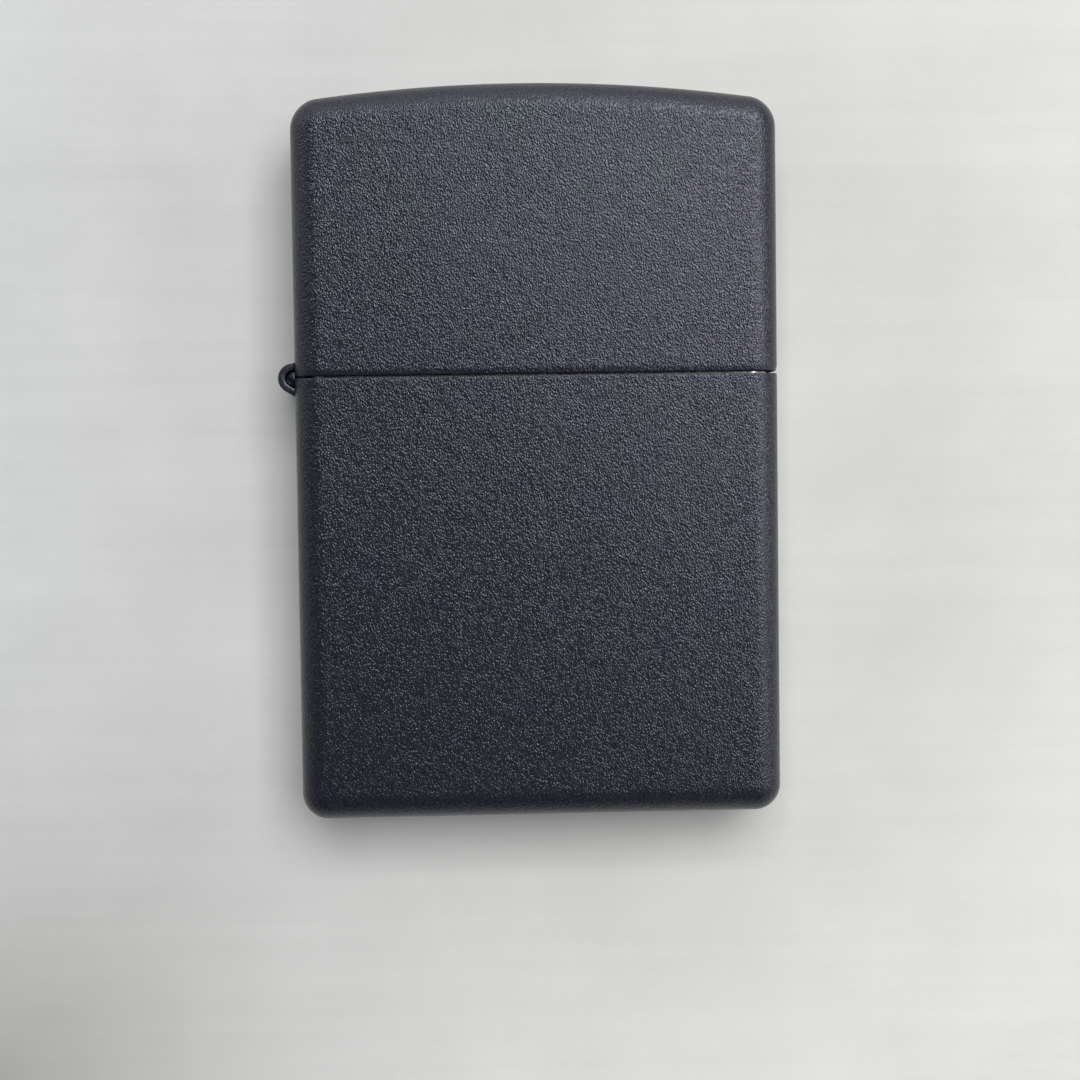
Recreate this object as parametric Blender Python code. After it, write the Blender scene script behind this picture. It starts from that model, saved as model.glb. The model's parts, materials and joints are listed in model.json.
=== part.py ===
"""Flip-lid windproof petrol lighter, built as its separate pieces.

Frame: origin at the middle of the case's base, at the level of the rim it stands on.
+Z up, +X to the right with the hinge on the -X side, the front face towards -Y.
Lengths are in millimetres and are turned into metres when a mesh is made.
Angles are in degrees. The lid, insert, cam, wheel, flint, spring and screw hang on empties.
"""

import math

import bmesh
import bpy
from mathutils import Matrix, Vector

MM = 0.001
PIVOT_DISPLAY_SIZE = 0.004  # metres

# ---------------------------------------------------------------- case and lid
CASE_WIDTH = 37.6  # case and lid, without the hinge barrel
CASE_DEPTH = 12.8
TOTAL_HEIGHT = 57.0  # base to the top of the lid's arch
CASE_RIM_Z = 34.5
SEAM_GAP = 0.1
LID_RIM_Z = CASE_RIM_Z + SEAM_GAP
WALL = 0.65  # sheet of case and lid
PLAN_R = 2.0  # corner radius seen from above
LEAST_PLAN_R = 0.5  # the same corner where it is inset
EDGE_R = 2.1  # edges round the base and round the lid's top
ARCH_R = 125.0  # the lid's arched top
RIM_R = 0.22  # rounding of the two rims that meet at the seam
BASE_RECESS = 0.35  # depth of the recessed panel in the base
RECESS_INSET, BASE_RIM_INSET = 3.15, 2.85
FLOOR_Z = 1.0  # inside floor of the case
FLOOR_R = 1.1  # its fillet into the walls

# ---------------------------------------------------------------- hinge
HINGE_X = -(CASE_WIDTH / 2 + 0.15)
HINGE_Z = 34.44
LEAF_T = 0.52
LEAF_X = -(CASE_WIDTH / 2 - WALL - 0.03)  # outer face of both leaves, inside the walls
LEAF_NEAR, LEAF_FAR = 2.05, 6.8  # reach of a leaf's plate above or below the pin
LEAF_CORNER_CUT = 0.8  # the plate's far corners are cut off at 45 degrees
BORE_R = 0.64
PIN_R = 0.58
PIN_CHAMFER = 0.12
BARREL_LENGTH = 8.8
KNUCKLE_COUNT = 5
KNUCKLE_GAP = 0.10
KNUCKLE_SLOPE = 149.2  # slope of the strip between plate and barrel
KNUCKLE_BEND_R = 0.5
KNUCKLE_END = 86.0  # angle round the pin at which the strip ends
KNUCKLE_OVERLAP = 1.1  # how far the strip runs along the plate
HINGE_END_GAP = 0.15  # notch beyond the barrel's ends, and pin short of them

# ---------------------------------------------------------------- insert
INSERT_X0, INSERT_X1 = -17.43, 17.99  # left and right
INSERT_HALF_DEPTH = 5.58
INSERT_R = 1.6
INSERT_WALL = 0.45
INSERT_Z0, INSERT_Z1 = 1.2, 35.3
PLATE_Z = INSERT_Z1 + 0.1  # upper face of the insert's top plate
PLATE_T = 0.5
PLATE_SKIRT_Z = 32.6
PLATE_CUT_Z = (33.5, 36.5)  # reach of the cutters for round holes in the plate
FOOT_Z = PLATE_Z - 0.25  # foot of what stands on the plate, sunk into it

CHIMNEY_TOP = 49.8  # wall before its top is trimmed
CHIMNEY_HALF_DEPTH = 4.3  # outside
CHIMNEY_T = 0.5
CHIMNEY_X0 = -9.4
CHIMNEY_END_R = 3.2  # corners of its left end, to the wall's middle
CHIMNEY_HOLE_R = 1.05
CHIMNEY_CUT = 6.5  # half length of the cutters across the chimney
CHIMNEY_HOLES = (  # x, z of the windproofing holes
    (-5.9, 47.0), (-1.9, 47.0), (2.1, 47.0),
    (-3.9, 43.3), (0.1, 43.3),
    (-5.9, 39.6), (-1.9, 39.6), (2.1, 39.6),
)
EAR_HALF_DEPTH = 2.72  # outside of the ears that hold the wheel
EAR_TIP_R = 3.0
EAR_TIP_SHIFT = 0.6  # centre of the ears' round tip, right of the axle

# ---------------------------------------------------------------- wheel, cam and cam spring
WHEEL_X, WHEEL_Z, WHEEL_R, WHEEL_HALF_WIDTH = 9.6, 43.7, 4.1, 2.0
WHEEL_BEVEL_R, WHEEL_BEVEL_Y = 0.75, 0.45
WHEEL_TEETH = 40
TOOTH_DEPTH = 0.24
AXLE_R = 1.0
WHEEL_BORE_R = AXLE_R + 0.05
AXLE_HOLE_R = AXLE_R + 0.04  # in the ears

CAM_X, CAM_Z, CAM_HEEL_R, CAM_TOE_R, CAM_LENGTH = -12.6, 36.6, 2.0, 0.6, 5.6
CAM_ANGLE = 137.8  # direction of the cam's toe with the lid shut
CAM_HALF_WIDTH = 1.15
CAM_BOW = 0.55  # how far the arm arches to the side
CAM_STEPS = 8
CAM_BORE_R = 0.86
CAM_RIVET_R = 0.8
CAM_RIVET_HOLE_R = 0.84
CAM_EAR_Y = (1.32, 1.85)  # inner and outer faces of the ears, either side
CAM_EAR_R = 1.95
CAM_EAR_X0, CAM_EAR_X1 = -14.5, -9.3

CAM_SPRING_T = 0.34
CAM_SPRING_HALF_WIDTH = 1.15
SPRING_RIVET_X = -5.6
SPRING_RIVET_HOLE_R = 0.66
CAM_SPRING_LINE = (  # x, z along the middle of the spring, from its rivet's end
    (-4.1, 34.69), (-7.2, 34.69), (-9.6, 34.45), (-12.6, 34.32), (-14.4, 34.12), (-15.5, 33.5),
)
CAM_SPRING_RIVET = (  # radius, z
    (0.6, 34.12), (1.0, 34.22), (1.0, 34.47), (0.6, 34.47),
    (0.6, 35.43), (1.05, 35.43), (1.05, 35.62), (0.65, 35.8),
)

# ---------------------------------------------------------------- flint, its tube, spring and screw
TUBE_X = WHEEL_X
TUBE_R = 1.85
TUBE_PROFILE = (  # radius, z round the section of the tube's wall
    (TUBE_R, 3.1), (TUBE_R, 39.05), (TUBE_R - 0.12, 39.2),
    (1.3, 39.2), (1.3, 9.4), (1.5, 9.2), (1.5, 3.1),
)
FLINT_PROFILE = ((1.05, 34.62), (1.2, 34.78), (1.2, 39.3), (1.05, 39.48))  # radius, z
TIP_PROFILE = (  # radius, z
    (0.45, 32.6), (0.58, 32.8), (0.58, 33.98), (1.18, 33.98), (1.18, 34.4), (0.95, 34.57),
)
FLINT_PIVOT_Z = 34.6
FLINT_SPRING_R, FLINT_SPRING_WIRE_R = 0.98, 0.17
FLINT_SPRING_Z = (9.2, 33.75)
FLINT_SPRING_PIVOT_Z = 9.0
SCREW_Z0 = 1.75  # underside of the screw's head
SCREW_SEGMENTS = 14
SCREW_HEAD = [(2.45, SCREW_Z0), (2.65, 1.92), (2.65, 2.82), (2.5, 2.98), (1.26, 2.98)]  # radius, z
SCREW_NOSE = [(1.0, 8.9), (0.56, 8.95), (0.5, 10.3)]  # radius, z
THREAD_ROOT_R, THREAD_CREST_R = 1.24, 1.42
THREAD_Z0, THREAD_Z1 = 3.2, 8.4
THREAD_PITCH = 0.6
THREAD_ROWS_PER_TURN = 4

# ---------------------------------------------------------------- wick and packing
WICK_X, WICK_R, WICK_TOP = -1.2, 1.6, 47.9
WICK_STEP = 2.9  # spacing of the points down its straight part
WICK_FOLDS = (  # x, y, z of its folds inside the insert
    (WICK_X, 0, 32.9), (0.5, 0, 29.3), (-4.2, 0, 25.6), (-9.2, 0, 22.0), (-4.2, 0, 18.4),
    (0.8, 0, 15.0), (-4.2, 0, 11.4), (-9.2, 0, 8.2), (-6.4, 0, 6.2),
)
WICK_WIRE_COIL_R, WICK_WIRE_R = 1.78, 0.09
WICK_WIRE_Z = (36.2, WICK_TOP - 0.4)
PACKING_BALLS = (  # centre, radii
    ((-10.9, 0, 28.6), (5.2, 4.8, 3.7)),
    ((1.9, 0, 22.0), (5.2, 4.8, 4.0)),
    ((-10.8, 0, 15.0), (5.3, 4.8, 4.0)),
    ((2.2, 0, 8.4), (4.7, 4.8, 3.5)),
    ((14.15, 0, 18.4), (2.3, 4.8, 13.2)),
)
BALL_BUMP = 0.035  # unevenness, as a share of the radius
BALL_BOXINESS = 0.55  # 0 is an ellipsoid, 1 a full superellipsoid
BALL_POWER = 3.0  # exponent of that superellipsoid
BALL_SCALE = 0.93
FELT_LEAST_R = 0.9
FELT_HOLE_R = 3.0

MATERIALS = {
    "black_crackle_paint": dict(colour=(0.032, 0.034, 0.042), roughness=0.5, metallic=0.0),
    "black_hinge": dict(colour=(0.03, 0.032, 0.038), roughness=0.35, metallic=0.6),
    "satin_steel": dict(colour=(0.62, 0.61, 0.58), roughness=0.28, metallic=1.0),
    "hardened_steel": dict(colour=(0.35, 0.34, 0.33), roughness=0.42, metallic=1.0),
    "brass": dict(colour=(0.78, 0.57, 0.28), roughness=0.3, metallic=1.0),
    "cotton": dict(colour=(0.83, 0.80, 0.72), roughness=0.95, metallic=0.0),
    "felt": dict(colour=(0.72, 0.70, 0.66), roughness=0.98, metallic=0.0),
    "flint_alloy": dict(colour=(0.20, 0.19, 0.18), roughness=0.55, metallic=0.6),
    "copper": dict(colour=(0.80, 0.42, 0.26), roughness=0.35, metallic=1.0),
    "spring_steel": dict(colour=(0.50, 0.50, 0.50), roughness=0.3, metallic=1.0),
}


# ---------------------------------------------------------------- scene helpers
def clear_scene():
    for obj in list(bpy.data.objects):
        bpy.data.objects.remove(obj, do_unlink=True)


def make_material(name, colour, roughness, metallic):
    material = bpy.data.materials.new(name)
    material.use_nodes = True
    shader = material.node_tree.nodes["Principled BSDF"]
    shader.inputs["Base Color"].default_value = (*colour, 1.0)
    shader.inputs["Roughness"].default_value = roughness
    shader.inputs["Metallic"].default_value = metallic


def link(name, bm, material=None, sharp_angle=40.0):
    """Make an object of the mesh, with its faces outwards and its size in metres."""
    bmesh.ops.recalc_face_normals(bm, faces=bm.faces)
    if bm.calc_volume(signed=True) < 0:
        bmesh.ops.reverse_faces(bm, faces=bm.faces)
    bmesh.ops.scale(bm, vec=(MM, MM, MM), verts=bm.verts)
    mesh = bpy.data.meshes.new(name)
    bm.to_mesh(mesh)
    bm.free()
    if material:
        mesh.materials.append(bpy.data.materials[material])
    mesh.shade_smooth()
    mesh.set_sharp_from_angle(angle=math.radians(sharp_angle))
    obj = bpy.data.objects.new(name, mesh)
    bpy.context.scene.collection.objects.link(obj)
    return obj


def boolean(obj, operation, name, bm):
    """Combine the object with a hidden helper made from the mesh. Returns the helper."""
    helper = link(name, bm)
    helper.hide_render = True
    helper.display_type = "WIRE"
    modifier = obj.modifiers.new(name, "BOOLEAN")
    modifier.operation = operation
    modifier.solver = "EXACT"
    modifier.object = helper
    return helper


def pivot(name, at, parent=None):
    empty = bpy.data.objects.new(name, None)
    empty.empty_display_size = PIVOT_DISPLAY_SIZE
    bpy.context.scene.collection.objects.link(empty)
    empty.location = Vector(at) * MM
    if parent:
        empty.parent = parent
        empty.location -= parent.matrix_world.translation
    bpy.context.view_layer.update()
    return empty


def mount_on(empty, *objects):
    """The objects and their boolean helpers keep their place and move with the empty."""
    for obj in objects:
        obj.data.transform(Matrix.Translation(-empty.matrix_world.translation))
        obj.parent = empty
        mount_on(empty, *[modifier.object for modifier in obj.modifiers])


# ---------------------------------------------------------------- lines and outlines
def arc(centre, radius, start, end, steps):
    """Points of an arc, both ends included."""
    points = []
    for i in range(steps + 1):
        angle = math.radians(start + (end - start) * i / steps)
        points.append((centre[0] + radius * math.cos(angle), centre[1] + radius * math.sin(angle)))
    return points


def quarter(steps):
    """Sine and cosine at even steps through a quarter turn."""
    angles = [math.radians(90.0 * i / steps) for i in range(steps + 1)]
    return [(math.sin(angle), math.cos(angle)) for angle in angles]


def rectangle(u0, u1, v0, v1):
    return [(u0, v0), (u1, v0), (u1, v1), (u0, v1)]


def rounded_ring(half_x, half_y, radius, side_steps, centre_x=0.0):
    """A rounded rectangle seen from above, anticlockwise from the +X side, mirrored in y."""
    x, y = half_x - radius, half_y - radius
    points = []
    corners = ((x, y, 0), (-x, y, 90), (-x, -y, 180), (x, -y, 270))
    for k, (corner_x, corner_y, start) in enumerate(corners):
        points += arc((corner_x, corner_y), radius, start, start + 90, 4)
        if k in (0, 2):  # the long sides are divided
            side_x, side_y = points[-1]
            for i in range(1, side_steps):
                points.append((side_x - 2 * side_x * i / side_steps, side_y))
    return [(x + centre_x, y) for x, y in points]


def offset_strip(centre_line, thickness):
    """Outline of a strip of even thickness along a flat centre line."""
    left, right = [], []
    last = len(centre_line) - 1
    for i, (u, v) in enumerate(centre_line):
        u0, v0 = centre_line[max(i - 1, 0)]
        u1, v1 = centre_line[min(i + 1, last)]
        du, dv = u1 - u0, v1 - v0
        length = math.hypot(du, dv)
        shift_u, shift_v = -dv / length * thickness / 2, du / length * thickness / 2
        left.append((u + shift_u, v + shift_v))
        right.append((u - shift_u, v - shift_v))
    return left + right[::-1]


def spline(points, steps):
    """A Catmull-Rom curve through the points."""
    padded = [points[0], *points, points[-1]]
    curve = []
    for stretch in zip(padded, padded[1:], padded[2:], padded[3:]):
        for i in range(steps):
            t = i / steps
            curve.append(tuple(
                0.5 * (
                    2 * start
                    + (end - before) * t
                    + (2 * before - 5 * start + 4 * end - after) * t * t
                    + (3 * start - before - 3 * end + after) * t ** 3
                )
                for before, start, end, after in zip(*stretch)
            ))
    curve.append(tuple(points[-1]))
    return curve


def helix(centre_x, radius, z0, z1, turns, steps):
    """Points of a coil about a vertical line in the plane y = 0, with steps to a turn."""
    points = []
    count = turns * steps
    for i in range(count + 1):
        angle = 2 * math.pi * i / steps
        x = centre_x + radius * math.cos(angle)
        points.append((x, radius * math.sin(angle), z0 + (z1 - z0) * i / count))
    return points


# ---------------------------------------------------------------- solids
def on_axis(axis, u, v, along):
    """Flat coordinates u, v and a distance along the axis, as x, y, z."""
    return {"X": (along, u, v), "Y": (u, along, v), "Z": (u, v, along)}[axis]


def bridge(bm, rows, loop=False):
    """Quads between neighbouring rows of equal length."""
    pairs = list(zip(rows, rows[1:]))
    if loop:
        pairs.append((rows[-1], rows[0]))
    count = len(rows[0])
    for low, high in pairs:
        for i in range(count):
            j = (i + 1) % count
            bm.faces.new((low[i], low[j], high[j], high[i]))


def skin(rings, loop=False):
    """A solid through mirrored rings, either a closed loop of them or capped at both ends.

    A cap is a ladder of strips between the ring's two mirrored halves.
    """
    bm = bmesh.new()
    rows = [[bm.verts.new(point) for point in ring] for ring in rings]
    bridge(bm, rows, loop)
    if not loop:
        count = len(rows[0])
        for row in (rows[0], rows[-1]):
            for i in range(count // 2 - 1):
                bm.faces.new((row[i], row[i + 1], row[count - 2 - i], row[count - 1 - i]))
    return bm


def prism(outline, axis, start, end):
    """A closed flat outline carried along an axis."""
    bm = bmesh.new()
    rows = [
        [bm.verts.new(on_axis(axis, u, v, along)) for u, v in outline] for along in (start, end)
    ]
    bm.faces.new(rows[0])
    bm.faces.new(rows[1][::-1])
    bridge(bm, rows)
    return bm


def turned(profile, centre, axis, segments, hollow=False, bm=None):
    """A profile of (radius, distance along the axis) turned about the axis.

    A radius may be a list with one value for each segment. Solid ends are single
    faces; a hollow profile is a closed loop. The faces are added to bm if it is given.
    """
    if bm is None:
        bm = bmesh.new()
    rows = []
    for radius, along in profile:
        radii = radius if isinstance(radius, list) else [radius] * segments
        row = []
        for i, reach in enumerate(radii):
            angle = 2 * math.pi * i / segments
            offset = on_axis(axis, reach * math.cos(angle), reach * math.sin(angle), along)
            row.append(bm.verts.new([c + o for c, o in zip(centre, offset)]))
        rows.append(row)
    bridge(bm, rows, hollow)
    if not hollow:
        bm.faces.new(rows[0])
        bm.faces.new(rows[-1])
    return bm


def rod(radius, start, end, centre, axis, segments, bm=None):
    return turned([(radius, start), (radius, end)], centre, axis, segments, bm=bm)


def swept(path, radius, segments, start_radius=None):
    """A round section carried along a path, with closed ends."""
    bm = bmesh.new()
    points = [Vector(point) for point in path]
    radii = [radius] * len(points)
    if start_radius is not None:
        radii[0] = start_radius
    rows = []
    normal = None
    for i, (point, reach) in enumerate(zip(points, radii)):
        tangent = (points[min(i + 1, len(points) - 1)] - points[max(i - 1, 0)]).normalized()
        if normal is None:
            normal = tangent.orthogonal().normalized()
        normal = (normal - normal.dot(tangent) * tangent).normalized()
        side = tangent.cross(normal)
        row = []
        for k in range(segments):
            angle = 2 * math.pi * k / segments
            row.append(bm.verts.new(
                point + reach * (math.cos(angle) * normal + math.sin(angle) * side)
            ))
        rows.append(row)
    bridge(bm, rows)
    bm.faces.new(rows[0])
    bm.faces.new(rows[-1])
    return bm


# ---------------------------------------------------------------- case and lid
def wall_plan(inset):
    radius = max(PLAN_R - inset, LEAST_PLAN_R)
    return rounded_ring(CASE_WIDTH / 2 - inset, CASE_DEPTH / 2 - inset, radius, side_steps=8)


def wall_ring(inset, z):
    return [(x, y, z) for x, y in wall_plan(inset)]


def arch_ring(inset, drop):
    """A ring that follows the lid's arched top at a given drop below it."""
    return [(x, y, TOTAL_HEIGHT - x * x / (2 * ARCH_R) - drop) for x, y in wall_plan(inset)]


def notch(sign):
    """Cutter for the gap a hinge leaf leaves by. sign is -1 for the case, +1 for the lid."""
    inner, outer, seam_side = 1.15, -0.6, 1.9  # from the pin

    def sloped_end(x):
        return -1.62 - (x - 0.25) * 0.6

    points = [
        (inner, sloped_end(inner)), (outer, sloped_end(outer)),
        (outer, seam_side), (inner, seam_side),
    ]
    outline = [(HINGE_X + x, HINGE_Z - sign * z) for x, z in points]
    half = BARREL_LENGTH / 2 + HINGE_END_GAP
    return prism(outline, "Y", -half, half)


def case_shell():
    # recessed base panel, outer edge, rim, then down inside to the floor
    rings = [wall_ring(RECESS_INSET, BASE_RECESS), wall_ring(BASE_RIM_INSET, 0.0)]
    rings += [wall_ring(EDGE_R * (1 - sin), EDGE_R * (1 - cos)) for sin, cos in quarter(4)]
    rings += [
        wall_ring(RIM_R * (1 - cos), CASE_RIM_Z - RIM_R + RIM_R * sin) for sin, cos in quarter(2)
    ]
    rings.append(wall_ring(WALL, CASE_RIM_Z))
    rings += [
        wall_ring(WALL + FLOOR_R * (1 - cos), FLOOR_Z + FLOOR_R * (1 - sin))
        for sin, cos in quarter(3)
    ]
    shell = link("case_shell", skin(rings), "black_crackle_paint")
    boolean(shell, "DIFFERENCE", "case_notch", notch(-1))


def lid_shell():
    # outer top edge, rim, then up inside to the top
    inner_r = EDGE_R - WALL
    rings = [arch_ring(EDGE_R * (1 - sin), EDGE_R * (1 - cos)) for sin, cos in quarter(4)]
    rings += [
        wall_ring(RIM_R * (1 - cos), LID_RIM_Z + RIM_R - RIM_R * sin) for sin, cos in quarter(2)
    ]
    rings.append(wall_ring(WALL, LID_RIM_Z))
    rings += [
        arch_ring(WALL + inner_r * (1 - cos), EDGE_R - inner_r * sin) for sin, cos in quarter(3)
    ]
    shell = link("lid_shell", skin(rings), "black_crackle_paint")
    boolean(shell, "DIFFERENCE", "lid_notch", notch(1))
    return shell


# ---------------------------------------------------------------- hinge
def knuckle_outline(sign):
    """One knuckle: along the wall, out through the notch and round the pin."""
    mean_r = BORE_R + LEAF_T / 2
    slope = math.radians(KNUCKLE_SLOPE)
    touch = slope + math.pi / 2  # where the slope meets the barrel
    start = Vector((mean_r * math.cos(touch), mean_r * math.sin(touch)))
    along = Vector((-math.cos(slope), -math.sin(slope)))
    plate_x = LEAF_X + LEAF_T / 2 - HINGE_X
    corner = start + (plate_x - start.x) / along.x * along
    turn = KNUCKLE_SLOPE - 90
    bend_z = corner.y - KNUCKLE_BEND_R * math.tan(math.radians(turn / 2))
    line = [(plate_x, corner.y - KNUCKLE_OVERLAP)]
    line += arc((plate_x - KNUCKLE_BEND_R, bend_z), KNUCKLE_BEND_R, 0, turn, 4)
    line += arc((0, 0), mean_r, math.degrees(touch), KNUCKLE_END, 12)
    return [(HINGE_X + x, HINGE_Z - sign * z) for x, z in offset_strip(line, LEAF_T)]


def knuckle_spans():
    """Start and end in y of every knuckle along the barrel."""
    pitch = BARREL_LENGTH / KNUCKLE_COUNT
    starts = [-BARREL_LENGTH / 2 + k * pitch for k in range(KNUCKLE_COUNT)]
    return [(y + KNUCKLE_GAP / 2, y + pitch - KNUCKLE_GAP / 2) for y in starts]


def hinge_leaf(name, sign, spans):
    """A plate inside the wall with its knuckles. sign is -1 for the case, +1 for the lid."""
    near = HINGE_Z + sign * LEAF_NEAR
    far = HINGE_Z + sign * LEAF_FAR
    cut_z = far - sign * LEAF_CORNER_CUT
    half = BARREL_LENGTH / 2
    cut_y = half - LEAF_CORNER_CUT
    face = [(-half, near), (-half, cut_z), (-cut_y, far), (cut_y, far), (half, cut_z), (half, near)]
    leaf = link(name, prism(face, "X", LEAF_X + LEAF_T, LEAF_X), "black_hinge")
    for i, (y0, y1) in enumerate(spans):
        knuckle = prism(knuckle_outline(sign), "Y", y0, y1)
        boolean(leaf, "UNION", f"{name}_knuckle_{i}", knuckle)
    return leaf


def hinge_pin():
    half = BARREL_LENGTH / 2 - HINGE_END_GAP
    end_r, end_y = PIN_R - PIN_CHAMFER, half - PIN_CHAMFER
    profile = [(end_r, -half), (PIN_R, -end_y), (PIN_R, end_y), (end_r, half)]
    link("hinge_pin", turned(profile, (HINGE_X, 0, HINGE_Z), "Y", 24), "black_hinge")


# ---------------------------------------------------------------- insert body and felt
def insert_rings(stations, least_r=0.4):
    """Rings of the insert's plan at stations of (inset, z)."""
    rings = []
    for inset, z in stations:
        half_x = (INSERT_X1 - INSERT_X0) / 2 - inset
        half_y = INSERT_HALF_DEPTH - inset
        radius = max(INSERT_R - inset, least_r)
        centre_x = (INSERT_X0 + INSERT_X1) / 2
        plan = rounded_ring(half_x, half_y, radius, side_steps=4, centre_x=centre_x)
        rings.append([(x, y, z) for x, y in plan])
    return rings


def insert_body():
    # a tube open at the top, with a turned-in lip at the bottom
    stations = (
        (0.85, INSERT_Z0 + 0.05), (0.45, INSERT_Z0 + 0.1),
        (0.15, INSERT_Z0 + 0.33), (0.0, INSERT_Z0 + 0.75),
        (0.0, INSERT_Z1 - 0.15), (0.12, INSERT_Z1),
        (INSERT_WALL, INSERT_Z1), (INSERT_WALL, INSERT_Z0 + 0.75),
        (INSERT_WALL + 0.15, INSERT_Z0 + 0.5), (0.85, INSERT_Z0 + 0.4),
    )
    return link("insert_body", skin(insert_rings(stations), loop=True), "satin_steel")


def felt_pad():
    stations = (
        (INSERT_WALL + 0.35, 1.72), (INSERT_WALL + 0.12, 1.95),
        (INSERT_WALL + 0.12, 3.85), (INSERT_WALL + 0.25, 3.98),
    )
    pad = link("felt_pad", skin(insert_rings(stations, FELT_LEAST_R)), "felt")
    hole = rod(FELT_HOLE_R, 1.0, 5.0, (TUBE_X, 0, 0), "Z", 28)
    boolean(pad, "DIFFERENCE", "felt_hole", hole)
    return pad


# ---------------------------------------------------------------- chimney
def chimney_path():
    """Middle line of the chimney wall from above: ear, side, rounded end, side, ear."""
    side = CHIMNEY_HALF_DEPTH - CHIMNEY_T / 2
    ear = EAR_HALF_DEPTH - CHIMNEY_T / 2
    middle = (ear + side) / 2
    # x, y of the front half, from the right
    front = [
        (13.6, -ear), (10.8, -ear), (8.0, -ear), (7.0, -ear - 0.12),
        (6.1, -middle + 0.22), (5.4, -middle - 0.25), (4.7, -side + 0.12),
        (3.9, -side), (0.0, -side), (-3.0, -side),
    ]
    end_centre = (CHIMNEY_X0 + CHIMNEY_T / 2 + CHIMNEY_END_R, -(side - CHIMNEY_END_R))
    front += arc(end_centre, CHIMNEY_END_R, 270.0, 180.0, 6)
    return front + [(x, -y) for x, y in reversed(front)]


def chimney_trim():
    """Side view of the wall: level top, falling to the ears with their round tips."""
    outline = [  # x, z
        (-12.0, 34.0), (-12.0, 44.6), (-8.9, 48.9), (-7.9, 49.5), (-6.9, 49.7),
        (4.6, 49.7), (5.6, 49.4), (6.4, 48.6), (8.0, 46.6),
    ]
    outline += arc((WHEEL_X + EAR_TIP_SHIFT, WHEEL_Z), EAR_TIP_R, 80.0, -40.0, 8)
    outline += [(12.2, 38.6), (12.8, 34.0)]
    return prism(outline, "Y", -6.0, 6.0)


def chimney_wall(plate):
    outline = offset_strip(chimney_path(), CHIMNEY_T)
    wall = boolean(plate, "UNION", "chimney_wall", prism(outline, "Z", FOOT_Z, CHIMNEY_TOP))
    boolean(wall, "INTERSECT", "chimney_trim", chimney_trim())
    drill = bmesh.new()
    for x, z in CHIMNEY_HOLES:
        rod(CHIMNEY_HOLE_R, -CHIMNEY_CUT, CHIMNEY_CUT, (x, 0, z), "Y", 16, bm=drill)
    boolean(wall, "DIFFERENCE", "chimney_drill", drill)
    hole = rod(AXLE_HOLE_R, -CHIMNEY_CUT, CHIMNEY_CUT, (WHEEL_X, 0, WHEEL_Z), "Y", 24)
    boolean(wall, "DIFFERENCE", "chimney_axle_hole", hole)


def cam_ears(plate):
    """Two ears that hold the cam, the front one first."""
    outline = [(CAM_EAR_X0, FOOT_Z), (CAM_EAR_X0, 36.4)]
    outline += arc((CAM_X, CAM_Z), CAM_EAR_R, 175.0, 25.0, 6)
    outline += [(CAM_EAR_X1, 38.3), (CAM_EAR_X1, FOOT_Z)]
    inner, outer = CAM_EAR_Y
    for k, (y0, y1) in enumerate(((-outer, -inner), (inner, outer))):
        boolean(plate, "UNION", f"cam_ear_{k}", prism(outline, "Y", y0, y1))


def chimney():
    """The insert's top plate, with the cam's ears and the chimney wall joined to it."""
    inset = INSERT_WALL + 0.05
    stations = (
        (inset + 0.3, PLATE_Z), (inset + 0.08, PLATE_Z - 0.1), (inset, PLATE_Z - 0.3),
        (inset, PLATE_SKIRT_Z), (inset + 0.4, PLATE_SKIRT_Z), (inset + 0.4, PLATE_Z - PLATE_T),
    )
    plate = link("chimney", skin(insert_rings(stations)), "satin_steel")
    cam_ears(plate)
    chimney_wall(plate)
    hole = rod(CAM_RIVET_HOLE_R, -6.0, 6.0, (CAM_X, 0, CAM_Z), "Y", 20)
    boolean(plate, "DIFFERENCE", "cam_rivet_hole", hole)
    slot = prism(rectangle(-15.55, -10.35, -1.27, 1.27), "Z", 34.0, 36.2)
    boolean(plate, "DIFFERENCE", "cam_slot", slot)
    for name, x, radius in (
        ("wick_hole", WICK_X, WICK_R + 0.4),
        ("tube_hole", TUBE_X, TUBE_R + 0.05),
        ("spring_rivet_hole", SPRING_RIVET_X, SPRING_RIVET_HOLE_R),
    ):
        boolean(plate, "DIFFERENCE", name, rod(radius, *PLATE_CUT_Z, (x, 0, 0), "Z", 20))
    return plate


# ---------------------------------------------------------------- cam, wheel and rivets
def cam():
    """A lever with a round heel about its pivot and an arched arm to its toe."""
    angle = math.radians(CAM_ANGLE)
    forward = Vector((math.cos(angle), math.sin(angle)))
    side = Vector((-forward.y, forward.x))
    left, right = [], []
    for i in range(CAM_STEPS + 1):
        share = i / CAM_STEPS
        bow = CAM_BOW * math.sin(math.pi * share)
        middle = Vector((CAM_X, CAM_Z)) + forward * (CAM_LENGTH * share) - side * bow
        heel_share = (1 - share) ** 1.5
        half_width = CAM_HEEL_R * heel_share + CAM_TOE_R * (1 - heel_share)
        left.append(middle + side * half_width)
        right.append(middle - side * half_width)
    toe = arc(middle, CAM_TOE_R, CAM_ANGLE + 60, CAM_ANGLE - 60, 4)
    heel = arc((CAM_X, CAM_Z), CAM_HEEL_R, CAM_ANGLE - 105, CAM_ANGLE - 255, 10)
    outline = left + toe + right[::-1] + heel
    body = link("cam", prism(outline, "Y", -CAM_HALF_WIDTH, CAM_HALF_WIDTH), "hardened_steel")
    boolean(body, "DIFFERENCE", "cam_bore", rod(CAM_BORE_R, -3, 3, (CAM_X, 0, CAM_Z), "Y", 20))
    return body


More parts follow.
